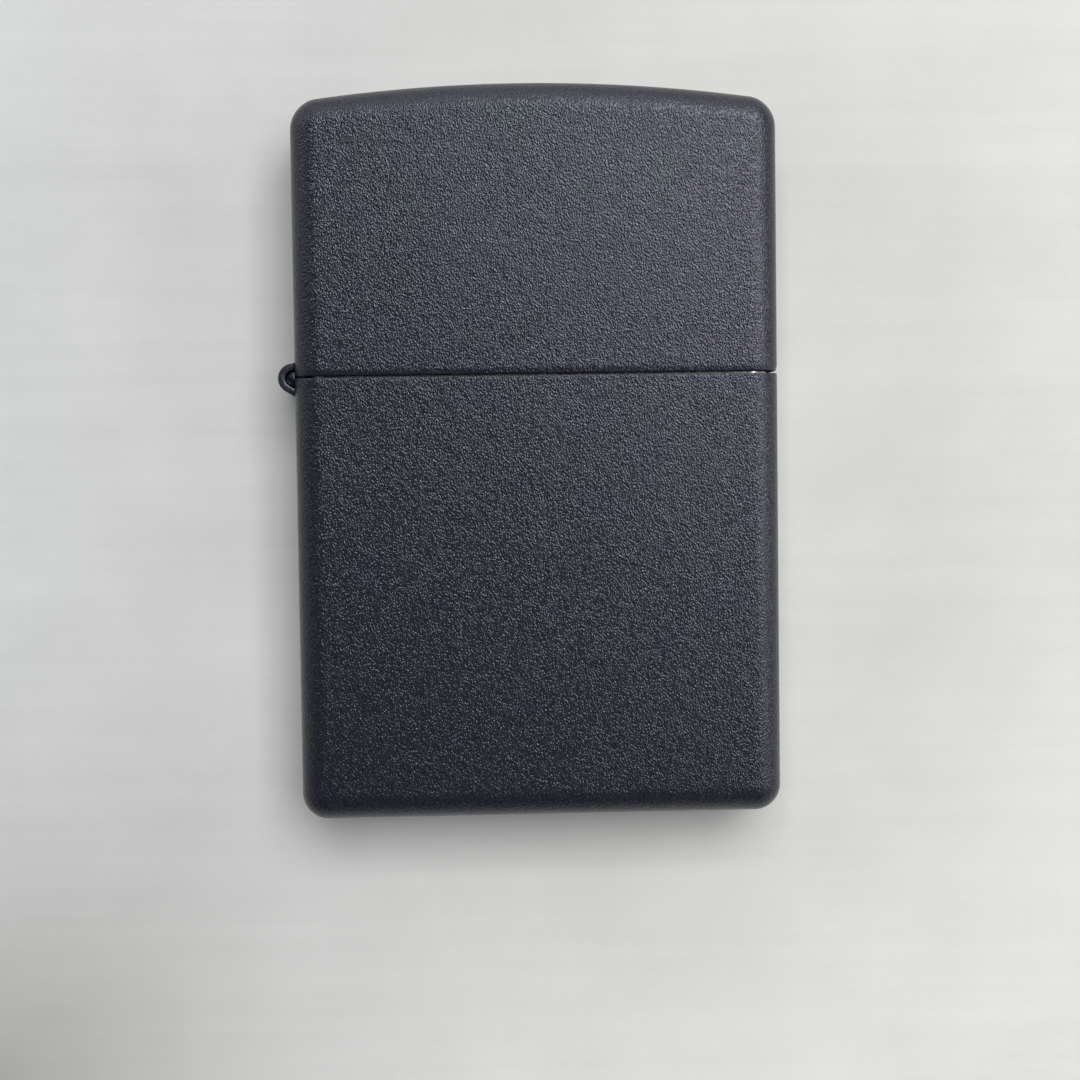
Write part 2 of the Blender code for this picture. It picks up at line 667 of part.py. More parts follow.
def flint_wheel():
    segments = 2 * WHEEL_TEETH
    toothed = [WHEEL_R - TOOTH_DEPTH * (i % 2) for i in range(segments)]
    bevel_r = WHEEL_R - WHEEL_BEVEL_R
    tooth_y = WHEEL_HALF_WIDTH - WHEEL_BEVEL_Y
    profile = [
        (WHEEL_BORE_R, -WHEEL_HALF_WIDTH), (bevel_r, -WHEEL_HALF_WIDTH), (toothed, -tooth_y),
        (toothed, tooth_y), (bevel_r, WHEEL_HALF_WIDTH), (WHEEL_BORE_R, WHEEL_HALF_WIDTH),
    ]
    bm = turned(profile, (WHEEL_X, 0, WHEEL_Z), "Y", segments, hollow=True)
    return link("flint_wheel", bm, "hardened_steel", sharp_angle=30)


def rivet(name, x, z, shank_r, half_length, head_r, head_height):
    """A rivet along Y with a low domed head on each side."""
    back = [  # radius, y from the head's top inwards
        (head_r * 0.55, half_length + head_height),
        (head_r * 0.88, half_length + head_height * 0.7),
        (head_r, half_length + 0.03),
        (shank_r, half_length + 0.03),
    ]
    profile = [(radius, -y) for radius, y in back] + back[::-1]
    return link(name, turned(profile, (x, 0, z), "Y", 20), "satin_steel")


def cam_spring():
    outline = offset_strip(spline(CAM_SPRING_LINE, 3), CAM_SPRING_T)
    half = CAM_SPRING_HALF_WIDTH
    leaf = link("cam_spring", prism(outline, "Y", -half, half), "spring_steel")
    eye = rod(SPRING_RIVET_HOLE_R, 33.5, 36.0, (SPRING_RIVET_X, 0, 0), "Z", 20)
    boolean(leaf, "DIFFERENCE", "spring_eye", eye)
    return leaf


def cam_spring_rivet():
    bm = turned(CAM_SPRING_RIVET, (SPRING_RIVET_X, 0, 0), "Z", 20)
    return link("cam_spring_rivet", bm, "satin_steel")


# ---------------------------------------------------------------- flint, spring and screw
def on_tube_line(name, profile, segments, material, hollow=False):
    """A piece turned about the middle line of the flint tube."""
    return link(name, turned(profile, (TUBE_X, 0, 0), "Z", segments, hollow), material)


def flint_spring():
    coil = helix(TUBE_X, FLINT_SPRING_R, *FLINT_SPRING_Z, turns=18, steps=12)
    return link("flint_spring", swept(coil, FLINT_SPRING_WIRE_R, 6), "spring_steel")


def thread_rows():
    """Radii and z of a right-hand thread, faded out at both ends."""
    rows = []
    length = THREAD_Z1 - THREAD_Z0
    count = int(round(length / THREAD_PITCH * THREAD_ROWS_PER_TURN))
    fade_length = 0.6 * THREAD_PITCH
    for k in range(count + 1):
        z = THREAD_Z0 + length * k / count
        fade = max(0.0, min(1.0, (z - THREAD_Z0) / fade_length, (THREAD_Z1 - z) / fade_length))
        height = (THREAD_CREST_R - THREAD_ROOT_R) * fade
        radii = []
        for i in range(SCREW_SEGMENTS):
            phase = (z / THREAD_PITCH - i / SCREW_SEGMENTS) % 1.0
            radii.append(THREAD_ROOT_R + height * (1 - abs(2 * phase - 1)))
        rows.append((radii, z))
    return rows


def flint_screw():
    profile = SCREW_HEAD + thread_rows() + SCREW_NOSE
    screw = on_tube_line("flint_screw", profile, SCREW_SEGMENTS, "brass")
    slot = prism(rectangle(TUBE_X - 3.2, TUBE_X + 3.2, 1.5, 2.3), "Y", -0.4, 0.4)
    boolean(screw, "DIFFERENCE", "screw_slot", slot)
    return screw


# ---------------------------------------------------------------- wick and packing
def wick():
    path = [(WICK_X, 0, WICK_TOP - k * WICK_STEP) for k in range(6)] + spline(WICK_FOLDS, 4)
    return link("wick", swept(path, WICK_R, 12, start_radius=WICK_R - 0.15), "cotton")


def wick_wire():
    coil = helix(WICK_X, WICK_WIRE_COIL_R, *WICK_WIRE_Z, turns=7, steps=14)
    return link("wick_wire", swept(coil, WICK_WIRE_R, 6), "copper")


def packing_ball(index, centre, radii):
    """A compressed ball of packing: a full, slightly uneven lump."""
    phase = 1.7 * index + 0.4  # makes each ball's bumps different
    bm = bmesh.new()
    bmesh.ops.create_icosphere(bm, subdivisions=3, radius=1.0)
    for vert in bm.verts:
        ray = vert.co.normalized()
        full = sum(abs(part) ** BALL_POWER for part in ray) ** (-1 / BALL_POWER)
        full = 1 + (full - 1) * BALL_BOXINESS
        wave = math.sin(5.1 * ray.x + phase) * math.sin(4.3 * ray.z - 2 * phase)
        bump = 1 + BALL_BUMP * wave * math.cos(3.7 * ray.y + phase)
        stretched = Vector([part * radius for part, radius in zip(ray, radii)])
        vert.co = Vector(centre) + stretched * full * bump * BALL_SCALE
    return link(f"packing_ball_{index + 1}", bm, "cotton", sharp_angle=80)


# ---------------------------------------------------------------- the model
def build_case(knuckles):
    """The case, which stays still."""
    case_shell()
    hinge_leaf("case_hinge_leaf", -1, knuckles)
    hinge_pin()


def build_lid(knuckles):
    """The lid, which turns about the pin."""
    lid_pivot = pivot("lid_pivot", (HINGE_X, 0, HINGE_Z))
    mount_on(lid_pivot, lid_shell(), hinge_leaf("lid_hinge_leaf", 1, knuckles))


def build_insert():
    """The insert, which draws out of the case. Returns its pivot."""
    insert_pivot = pivot("insert_pivot", (0, 0, INSERT_Z0))
    mount_on(
        insert_pivot,
        insert_body(),
        chimney(),
        rivet("cam_rivet", CAM_X, CAM_Z, shank_r=CAM_RIVET_R, half_length=1.87,
              head_r=1.12, head_height=0.38),
        rivet("wheel_rivet", WHEEL_X, WHEEL_Z, shank_r=AXLE_R, half_length=EAR_HALF_DEPTH,
              head_r=1.75, head_height=0.5),
        cam_spring(),
        cam_spring_rivet(),
        on_tube_line("flint_tube", TUBE_PROFILE, 24, "brass", hollow=True),
        wick(),
        wick_wire(),
        *[packing_ball(i, centre, radii) for i, (centre, radii) in enumerate(PACKING_BALLS)],
        felt_pad(),
    )
    return insert_pivot


def build_moving_parts(insert_pivot):
    """The cam, the wheel, and the flint with its spring and screw."""
    mount_on(pivot("cam_pivot", (CAM_X, 0, CAM_Z), insert_pivot), cam())
    mount_on(pivot("wheel_pivot", (WHEEL_X, 0, WHEEL_Z), insert_pivot), flint_wheel())

    # the flint and the tip that pushes it
    flint_line = pivot("flint_line", (TUBE_X, 0, FLINT_PIVOT_Z), insert_pivot)
    flint = on_tube_line("flint", FLINT_PROFILE, 20, "flint_alloy")
    mount_on(flint_line, flint, on_tube_line("flint_spring_tip", TIP_PROFILE, 20, "brass"))

    # the screw hangs on the spring's empty
    spring_line = pivot("flint_spring_line", (TUBE_X, 0, FLINT_SPRING_PIVOT_Z), insert_pivot)
    mount_on(spring_line, flint_spring())
    mount_on(pivot("flint_screw_line", (TUBE_X, 0, SCREW_Z0), spring_line), flint_screw())


def build():
    clear_scene()
    bpy.context.scene.unit_settings.scale_length = 1.0
    for name, look in MATERIALS.items():
        make_material(name, **look)
    spans = knuckle_spans()
    build_case(spans[0::2])
    build_lid(spans[1::2])
    build_moving_parts(build_insert())


build()
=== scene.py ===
"""Looks for the flip-lid lighter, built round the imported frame. Millimetres inside the mesh code, metres in the scene."""
import json
import math

import bmesh
import bpy
import numpy as np
from mathutils import Matrix, Vector


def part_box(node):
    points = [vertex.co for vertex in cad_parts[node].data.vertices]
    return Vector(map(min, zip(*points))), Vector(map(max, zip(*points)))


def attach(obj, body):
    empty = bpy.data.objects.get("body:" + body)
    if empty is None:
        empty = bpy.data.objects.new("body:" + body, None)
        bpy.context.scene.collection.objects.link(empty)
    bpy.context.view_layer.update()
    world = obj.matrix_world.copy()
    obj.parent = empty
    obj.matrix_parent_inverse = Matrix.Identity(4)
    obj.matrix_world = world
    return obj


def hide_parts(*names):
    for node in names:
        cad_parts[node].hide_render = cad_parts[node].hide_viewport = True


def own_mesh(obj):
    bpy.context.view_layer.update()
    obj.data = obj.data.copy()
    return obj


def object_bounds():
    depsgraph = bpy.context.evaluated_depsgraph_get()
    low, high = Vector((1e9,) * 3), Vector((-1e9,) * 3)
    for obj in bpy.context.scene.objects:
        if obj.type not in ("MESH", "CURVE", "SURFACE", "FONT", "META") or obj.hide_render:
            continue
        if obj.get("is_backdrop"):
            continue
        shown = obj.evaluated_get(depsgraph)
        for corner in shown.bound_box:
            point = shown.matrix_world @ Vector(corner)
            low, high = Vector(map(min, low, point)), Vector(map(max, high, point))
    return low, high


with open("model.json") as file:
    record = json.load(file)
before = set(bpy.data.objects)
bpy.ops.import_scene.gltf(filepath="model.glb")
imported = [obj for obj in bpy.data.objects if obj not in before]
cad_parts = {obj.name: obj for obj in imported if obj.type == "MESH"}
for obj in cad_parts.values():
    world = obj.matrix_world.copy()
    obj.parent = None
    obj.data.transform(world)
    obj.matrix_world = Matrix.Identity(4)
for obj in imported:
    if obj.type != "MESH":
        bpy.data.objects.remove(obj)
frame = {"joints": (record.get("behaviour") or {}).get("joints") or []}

CAD_LO, CAD_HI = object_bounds()
MM = 0.001


def mm_box(node):
    lo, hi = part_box(node)
    return np.array(lo) * 1000, np.array(hi) * 1000


# ---------------------------------------------------------------- sizes, read from the frame (mm)
case_lo, case_hi = mm_box("case_shell")
lid_lo, lid_hi = mm_box("lid_shell")
ins_lo, ins_hi = mm_box("insert_body")
pin_lo, pin_hi = mm_box("hinge_pin")
chim_lo, chim_hi = mm_box("chimney")
wheel_lo, wheel_hi = mm_box("flint_wheel")
cam_rivet_lo, cam_rivet_hi = mm_box("cam_rivet")
JOINTS = {j["name"]: j for j in frame["joints"]}

HALF_W = float(case_hi[0])
HALF_T = float(case_hi[1])
CASE_H = float(case_hi[2])
LID_Z0 = float(lid_lo[2])
TOTAL_H = float(lid_hi[2])
WALL = 0.65
PLAN_R = 2.0
EDGE_R = 2.1
ARCH_R = 125.0
HINGE_X, HINGE_Z = JOINTS["lid_hinge"]["pos_m"][0] * 1000, JOINTS["lid_hinge"]["pos_m"][2] * 1000
BARREL_L = 8.8
CAM_X, CAM_Z = JOINTS["cam_pivot"]["pos_m"][0] * 1000, JOINTS["cam_pivot"]["pos_m"][2] * 1000
WHEEL_X, WHEEL_Z = JOINTS["wheel_spin"]["pos_m"][0] * 1000, JOINTS["wheel_spin"]["pos_m"][2] * 1000


# ---------------------------------------------------------------- noise in code, for real relief
def hash3(ix, iy, iz, seed):
    h = (ix.astype(np.int64) * 374761393 + iy.astype(np.int64) * 668265263 + iz.astype(np.int64) * 2147483647 + seed * 1274126177) & 0xFFFFFFFF
    h = (h ^ (h >> 13)) * 1274126177 & 0xFFFFFFFF
    h = h ^ (h >> 16)
    return (h & 0xFFFFFF) / float(0xFFFFFF)


def value_noise(p, seed=0):
    """Smooth noise in 0..1 at the points p, one cell per unit."""
    i = np.floor(p).astype(np.int64)
    f = p - i
    f = f * f * (3 - 2 * f)
    out = 0.0
    for dx in (0, 1):
        for dy in (0, 1):
            for dz in (0, 1):
                w = (f[:, 0] if dx else 1 - f[:, 0]) * (f[:, 1] if dy else 1 - f[:, 1]) * (f[:, 2] if dz else 1 - f[:, 2])
                out = out + w * hash3(i[:, 0] + dx, i[:, 1] + dy, i[:, 2] + dz, seed)
    return out


# ---------------------------------------------------------------- mesh helpers
def make_object(name, verts, faces, mats, mat_index=None, angle=35.0, smooth=True):
    mesh = bpy.data.meshes.new(name)
    mesh.from_pydata([tuple(v) for v in (np.asarray(verts, float) * MM).tolist()], [], [tuple(int(i) for i in f) for f in faces])
    for m in mats:
        mesh.materials.append(m)
    if mat_index is not None:
        mesh.polygons.foreach_set("material_index", np.asarray(mat_index, np.int32))
    mesh.update()
    if smooth:
        mesh.shade_smooth()
        mesh.set_sharp_from_angle(angle=math.radians(angle))
    obj = bpy.data.objects.new(name, mesh)
    bpy.context.scene.collection.objects.link(obj)
    return obj


def from_bm(name, bm, mats, angle=35.0, recalc=True):
    if recalc:
        bmesh.ops.recalc_face_normals(bm, faces=bm.faces)
    if bm.calc_volume(signed=True) < 0:
        bmesh.ops.reverse_faces(bm, faces=bm.faces)
    bmesh.ops.scale(bm, vec=(MM, MM, MM), verts=bm.verts)
    mesh = bpy.data.meshes.new(name)
    bm.to_mesh(mesh)
    bm.free()
    for m in mats:
        mesh.materials.append(m)
    mesh.shade_smooth()
    mesh.set_sharp_from_angle(angle=math.radians(angle))
    obj = bpy.data.objects.new(name, mesh)
    bpy.context.scene.collection.objects.link(obj)
    return obj


def bake_modifiers(obj, angle=35.0):
    """Applies the modifiers and shades the result."""
    bpy.context.view_layer.update()
    graph = bpy.context.evaluated_depsgraph_get()
    mesh = bpy.data.meshes.new_from_object(obj.evaluated_get(graph))
    old = obj.data
    obj.modifiers.clear()
    obj.data = mesh
    bpy.data.meshes.remove(old)
    mesh.shade_smooth()
    mesh.set_sharp_from_angle(angle=math.radians(angle))
    return obj


def cut(obj, cutter, operation="DIFFERENCE"):
    m = obj.modifiers.new("cut", "BOOLEAN")
    m.operation = operation
    m.solver = "EXACT"
    m.object = cutter
    bake_modifiers(obj)
    bpy.data.objects.remove(cutter, do_unlink=True)
    return obj


def tidy(obj):
    """Merges points closer than 3 micrometres and drops the slivers that a cut leaves."""
    bm = bmesh.new()
    bm.from_mesh(obj.data)
    bmesh.ops.remove_doubles(bm, verts=bm.verts[:], dist=0.003 * MM)
    bmesh.ops.dissolve_degenerate(bm, dist=0.003 * MM, edges=bm.edges[:])
    bm.to_mesh(obj.data)
    bm.free()
    return obj


def soften(obj, width, segments=2, limit=30.0, clamp=True):
    """Small rounded edges where faces meet sharply."""
    tidy(obj)
    m = obj.modifiers.new("edges", "BEVEL")
    m.width = width * MM
    m.segments = segments
    m.limit_method = "ANGLE"
    m.angle_limit = math.radians(limit)
    m.use_clamp_overlap = clamp
    m.harden_normals = False
    return tidy(bake_modifiers(obj, 40.0))


def piece(obj, body, slot, *nodes):
    if nodes:
        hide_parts(*nodes)
    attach(obj, body)
    return obj


# ---------------------------------------------------------------- node helpers
class Nodes:
    def __init__(self, name):
        self.mat = bpy.data.materials.new(name)
        self.mat.use_nodes = True
        self.tree = self.mat.node_tree
        self.bsdf = self.tree.nodes["Principled BSDF"]
        self.out = self.tree.nodes["Material Output"]
        self.x = -200

    def add(self, kind, inputs=None, **props):
        node = self.tree.nodes.new(kind)
        node.location = (self.x, 0)
        self.x -= 40
        for k, v in props.items():
            setattr(node, k, v)
        for k, v in (inputs or {}).items():
            self.set(node.inputs[k], v)
        return node

    def set(self, socket, v):
        if isinstance(v, bpy.types.NodeSocket):
            self.tree.links.new(v, socket)
        elif isinstance(v, bpy.types.Node):
            self.tree.links.new(v.outputs[0], socket)
        else:
            socket.default_value = v

    def coords(self, scale=(1000, 1000, 1000), rotation=(0, 0, 0), location=(0, 0, 0)):
        """Object coordinates in millimetres."""
        tc = self.add("ShaderNodeTexCoord")
        mp = self.add("ShaderNodeMapping", {"Vector": tc.outputs["Object"], "Scale": scale, "Rotation": rotation, "Location": location})
        return mp.outputs[0]

    def noise(self, vector, scale, detail=2.0, rough=0.5, distortion=0.0, lac=2.0):
        return self.add("ShaderNodeTexNoise", {"Vector": vector, "Scale": scale, "Detail": detail, "Roughness": rough, "Distortion": distortion, "Lacunarity": lac}).outputs[0]

    def voronoi(self, vector, scale, feature="F1", smooth=0.5, rand=1.0, out="Distance"):
        n = self.add("ShaderNodeTexVoronoi", feature=feature)
        self.set(n.inputs["Vector"], vector)
        n.inputs["Scale"].default_value = scale
        n.inputs["Randomness"].default_value = rand
        if feature == "SMOOTH_F1":
            n.inputs["Smoothness"].default_value = smooth
        return n.outputs[out]

    def ramp(self, fac, stops, interpolation="LINEAR"):
        n = self.add("ShaderNodeValToRGB")
        self.set(n.inputs[0], fac)
        cr = n.color_ramp
        cr.interpolation = interpolation
        while len(cr.elements) > 1:
            cr.elements.remove(cr.elements[-1])
        cr.elements[0].position = stops[0][0]
        cr.elements[0].color = stops[0][1] if isinstance(stops[0][1], tuple) else (stops[0][1],) * 3 + (1,)
        for pos, col in stops[1:]:
            e = cr.elements.new(pos)
            e.color = col if isinstance(col, tuple) else (col,) * 3 + (1,)
        return n.outputs[0]

    def map(self, v, a, b, c, d, clamp=True):
        return self.add("ShaderNodeMapRange", {"Value": v, "From Min": a, "From Max": b, "To Min": c, "To Max": d}, clamp=clamp).outputs[0]

    def math(self, op, a, b=0.0, c=0.0, clamp=False):
        n = self.add("ShaderNodeMath", operation=op, use_clamp=clamp)
        self.set(n.inputs[0], a)
        self.set(n.inputs[1], b)
        self.set(n.inputs[2], c)
        return n.outputs[0]

    def mix(self, fac, a, b, blend="MIX"):
        n = self.add("ShaderNodeMix", data_type="RGBA", blend_type=blend)
        self.set(n.inputs[0], fac)
        self.set(n.inputs[6], a)
        self.set(n.inputs[7], b)
        return n.outputs[2]

    def bump(self, height, distance_mm, strength=1.0, normal=None):
        n = self.add("ShaderNodeBump", {"Height": height, "Strength": strength, "Distance": distance_mm * MM})
        if normal is not None:
            self.set(n.inputs["Normal"], normal)
        return n.outputs[0]

    def use(self, **values):
        for k, v in values.items():
            self.set(self.bsdf.inputs[k.replace("_", " ")], v)
        return self.mat


def rgb(r, g, b):
    return (r, g, b, 1.0)


# ---------------------------------------------------------------- materials
def crackle_paint():
    """Black powder coat: packed fine grains, each a small dome, with a semi-gloss skin and slow waves under them."""
    n = Nodes("black_crackle_paint")
    co = n.coords()
    warp = n.add("ShaderNodeTexNoise", {"Vector": co, "Scale": 1.7, "Detail": 1.0})
    moved = n.add("ShaderNodeVectorMath", {0: warp.outputs["Color"], 1: (0.16, 0.16, 0.16)}, operation="MULTIPLY")
    warped = n.add("ShaderNodeVectorMath", {0: co, 1: moved.outputs[0]}, operation="ADD").outputs[0]
    drawn = n.add("ShaderNodeMapping", {"Vector": warped, "Rotation": (0, math.radians(-38), 0), "Scale": (1.0, 1.15, 0.72)}).outputs[0]
    grain = n.voronoi(drawn, 6.9, "SMOOTH_F1", 0.28)
    dome = n.map(grain, 0.08, 0.62, 1.0, 0.0)
    fine = n.noise(drawn, 8.8, 1.0, 0.6)
    patch = n.noise(co, 0.9, 2.0, 0.5)
    coarse = n.noise(co, 1.15, 2.0, 0.5)
    height = n.math("ADD", n.math("MULTIPLY", dome, 0.55), n.math("MULTIPLY", fine, 0.9))
    normal = n.bump(coarse, 0.05, 0.35)
    normal = n.bump(height, 0.046, 1.0, normal)
    crest = n.map(height, 0.35, 1.05, 0.0, 1.0)
    slow = n.noise(co, 0.22, 3.0, 0.5)
    slower = n.noise(co, 0.09, 2.0, 0.5)
    height_mm = n.add("ShaderNodeSeparateXYZ", {0: co}).outputs["Z"]
    rim = n.map(n.math("ABSOLUTE", n.math("SUBTRACT", height_mm, 34.45)), 0.06, 0.24, 1.0, 0.0)  # thin, dull coat round the parting line
    lid = n.map(height_mm, 34.4, 34.7, 0.0, 1.0)  # the lid was coated apart, a little more violet
    violet = n.map(n.math("ADD", slow, n.map(lid, 0, 1, -0.05, 0.07)), 0.40, 0.60, 0.0, 1.0)
    tint = n.mix(violet, rgb(0.0112, 0.0147, 0.0195), rgb(0.0136, 0.0129, 0.0232))
    tint = n.mix(n.map(slower, 0.35, 0.65, 0.0, 0.4), tint, rgb(0.0132, 0.0142, 0.0190))
    gloss = n.mix(violet, rgb(0.93, 1.0, 1.03), rgb(1.0, 0.955, 1.10))
    # painted shade and light on the grain: the base colour is darker in the hollows between grains and lighter on their
    # crests
    base = n.mix(crest, n.mix(0.5, tint, rgb(0.0085, 0.0095, 0.0125)), rgb(0.027, 0.028, 0.034))
    rough = n.math("ADD", n.map(crest, 0, 1, 0.232, 0.156), n.map(patch, 0.3, 0.7, -0.02, 0.02))
    rough = n.math("ADD", rough, n.math("MULTIPLY", rim, 0.30))
    return n.use(Base_Color=base, Roughness=rough, Normal=normal, Metallic=0.0, IOR=1.5, Specular_IOR_Level=0.46, Specular_Tint=gloss)


def brushed_metal(name, colour, dark, rough=(0.22, 0.40), stretch=(0.6, 9.0, 9.0), bump=0.006, smudge=0.5, anisotropy=0.45, metallic=1.0):
    """Sheet with a directional grain, faint smudges and slightly darker low spots."""
    n = Nodes(name)
    co = n.coords()
    lines = n.coords(tuple(1000 * s for s in stretch))
    grain = n.noise(lines, 1.0, 4.0, 0.65)
    fine = n.noise(lines, 3.1, 2.0, 0.6)
    marks = n.noise(co, 0.22, 3.0, 0.6, 0.6)
    spots = n.noise(co, 1.9, 3.0, 0.65)
    both = n.math("ADD", n.math("MULTIPLY", grain, 0.65), n.math("MULTIPLY", fine, 0.35))
    base = n.mix(n.map(both, 0.35, 0.65, 0.0, 1.0), rgb(*dark), rgb(*colour))
    base = n.mix(n.map(marks, 0.35, 0.75, 0.0, 0.35 * smudge), base, rgb(*[c * 0.72 for c in dark]))
    r = n.map(both, 0.3, 0.7, rough[0], rough[1])
    r = n.math("ADD", r, n.map(spots, 0.35, 0.7, -0.02, 0.10 * smudge))
    normal = n.bump(both, bump, 1.0)
    n.use(Base_Color=base, Roughness=r, Normal=normal, Metallic=metallic)
    n.bsdf.inputs["Anisotropic"].default_value = anisotropy
    return n.mat


def turned_metal(name, colour, dark, rough=(0.16, 0.32), axis=2, bump=0.004):
    """Lathe-turned metal: fine rings round the axis, and tarnish in the corners."""
    n = Nodes(name)
    scale = [900.0, 900.0, 900.0]
    scale[axis] = 16000.0
    small = [60.0] * 3
    small[axis] = 16000.0
    lines = n.coords(tuple(small))
    co = n.coords()
    grain = n.noise(lines, 1.0, 3.0, 0.6)
    stain = n.noise(co, 0.9, 4.0, 0.65, 0.4)
    base = n.mix(n.map(stain, 0.4, 0.75, 0.0, 0.8), rgb(*colour), rgb(*dark))
    r = n.math("ADD", n.map(grain, 0.3, 0.7, rough[0], rough[1]), n.map(stain, 0.4, 0.8, 0.0, 0.15))
    return n.use(Base_Color=base, Roughness=r, Normal=n.bump(grain, bump, 1.0), Metallic=1.0)


def hinge_black():
    """Smooth black coat over rolled sheet, rubbed a little thinner on its edges."""
    n = Nodes("hinge_black")
    co = n.coords()
    mottle = n.noise(co, 2.6, 3.0, 0.6)
    fine = n.noise(co, 9.0, 2.0, 0.6)
    geo = n.add("ShaderNodeNewGeometry")
    worn = n.map(geo.outputs["Pointiness"], 0.52, 0.60, 0.0, 0.30)
    base = n.mix(mottle, rgb(0.020, 0.023, 0.028), rgb(0.035, 0.038, 0.045))
    base = n.mix(worn, base, rgb(0.10, 0.10, 0.11))
    r = n.map(fine, 0.3, 0.7, 0.24, 0.36)
    return n.use(Base_Color=base, Roughness=r, Normal=n.bump(n.math("ADD", mottle, n.math("MULTIPLY", fine, 0.4)), 0.018, 1.0), Metallic=0.25, Specular_IOR_Level=0.6)


def fibre(name, light, dark, scale=2.2, bump=0.12, sheen=0.5, stretch=(1000, 1000, 1000)):
    """Cotton or felt: tangled fibres with a soft sheen."""
    n = Nodes(name)
    co = n.coords(stretch)
    warp = n.noise(co, scale * 0.5, 3.0, 0.6)
    hairs = n.noise(co, scale * 2.2, 5.0, 0.75, 2.4)
    tuft = n.noise(co, scale * 0.35, 2.0, 0.5)
    h = n.math("ADD", n.math("MULTIPLY", hairs, 0.6), n.math("MULTIPLY", warp, 0.5))
    base = n.mix(n.map(h, 0.35, 0.75, 0.0, 1.0), rgb(*dark), rgb(*light))
    base = n.mix(n.map(tuft, 0.4, 0.8, 0.0, 0.25), base, rgb(*[c * 0.8 for c in dark]))
    n.use(Base_Color=base, Roughness=n.map(hairs, 0.3, 0.7, 0.85, 1.0), Normal=n.bump(h, bump, 1.0), Metallic=0.0)
    n.bsdf.inputs["Sheen Weight"].default_value = sheen
    n.bsdf.inputs["Sheen Roughness"].default_value = 0.5
    return n.mat


def flint_alloy():
    n = Nodes("flint_alloy")
    co = n.coords()
    grit = n.noise(co, 5.0, 4.0, 0.7)
    pits = n.voronoi(co, 4.0, "F1")
    base = n.mix(grit, rgb(0.10, 0.095, 0.09), rgb(0.24, 0.22, 0.20))
    h = n.math("ADD", grit, n.map(pits, 0.0, 0.35, 0.0, 1.0))
    return n.use(Base_Color=base, Roughness=n.map(grit, 0.3, 0.7, 0.5, 0.75), Normal=n.bump(h, 0.03, 1.0), Metallic=0.55)


PAINT = crackle_paint()
BARE = brushed_metal("bare_inside", (0.66, 0.61, 0.52), (0.48, 0.44, 0.37), (0.26, 0.42), (7.0, 7.0, 0.5), 0.004, 0.8, 0.3)
HINGE = hinge_black()
PIN = turned_metal("blackened_pin", (0.16, 0.20, 0.23), (0.030, 0.045, 0.055), (0.10, 0.26), 1, 0.05)
STEEL = brushed_metal("insert_steel", (0.72, 0.71, 0.68), (0.52, 0.51, 0.49), (0.20, 0.34), (0.5, 8.0, 8.0), 0.0035, 0.6, 0.5)
PLATE = brushed_metal("chimney_steel", (0.71, 0.70, 0.67), (0.50, 0.49, 0.47), (0.22, 0.38), (7.0, 7.0, 0.45), 0.0035, 0.7, 0.5)
HARD = brushed_metal("hardened_steel", (0.40, 0.39, 0.38), (0.22, 0.215, 0.21), (0.28, 0.48), (5.0, 1.2, 5.0), 0.008, 0.9, 0.2)
RIVET = brushed_metal("rivet_steel", (0.62, 0.61, 0.59), (0.42, 0.41, 0.40), (0.20, 0.36), (3.0, 3.0, 3.0), 0.006, 0.8, 0.0)
SPRING = brushed_metal("spring_steel", (0.60, 0.60, 0.61), (0.38, 0.38, 0.39), (0.16, 0.30), (1.0, 7.0, 7.0), 0.003, 0.5, 0.3)
BRASS = turned_metal("turned_brass", (0.86, 0.63, 0.31), (0.42, 0.27, 0.11), (0.16, 0.30), 2)
COPPER = turned_metal("copper_wire", (0.86, 0.45, 0.28), (0.45, 0.20, 0.11), (0.20, 0.34), 2, 0.001)
FLINT = flint_alloy()
COTTON = fibre("cotton_packing", (0.90, 0.88, 0.83), (0.72, 0.69, 0.62), 1.2, 0.22, 0.6)
WICK = fibre("wick_cotton", (0.88, 0.85, 0.77), (0.60, 0.56, 0.47), 2.6, 0.07, 0.4)
FELT = fibre("pressed_felt", (0.80, 0.78, 0.74), (0.58, 0.56, 0.52), 2.0, 0.12, 0.6)


# ---------------------------------------------------------------- lofted shells
def plan_ring(a, b, r, corner, side, end, cx=0.0):
    """Rounded rectangle seen from above, anticlockwise from the end of the +X side, mirrored about y = 0."""
    pts = []

    def arc(x, y, start):
        for i in range(corner + 1):
            t = math.radians(start + 90.0 * i / corner)
            pts.append((x + r * math.cos(t), y + r * math.sin(t)))

    arc(a - r, b - r, 0)
    for i in range(1, side):
        pts.append(((a - r) * (1 - 2 * i / side), b))
    arc(-(a - r), b - r, 90)
    for i in range(1, end):
        pts.append((-a, (b - r) * (1 - 2 * i / end)))
    arc(-(a - r), -(b - r), 180)
    for i in range(1, side):
        pts.append((-(a - r) * (1 - 2 * i / side), -b))
    arc(a - r, -(b - r), 270)
    for i in range(1, end):
        pts.append((a, -(b - r) * (1 - 2 * i / end)))
    out = np.array(pts)
    out[:, 0] += cx
    return out


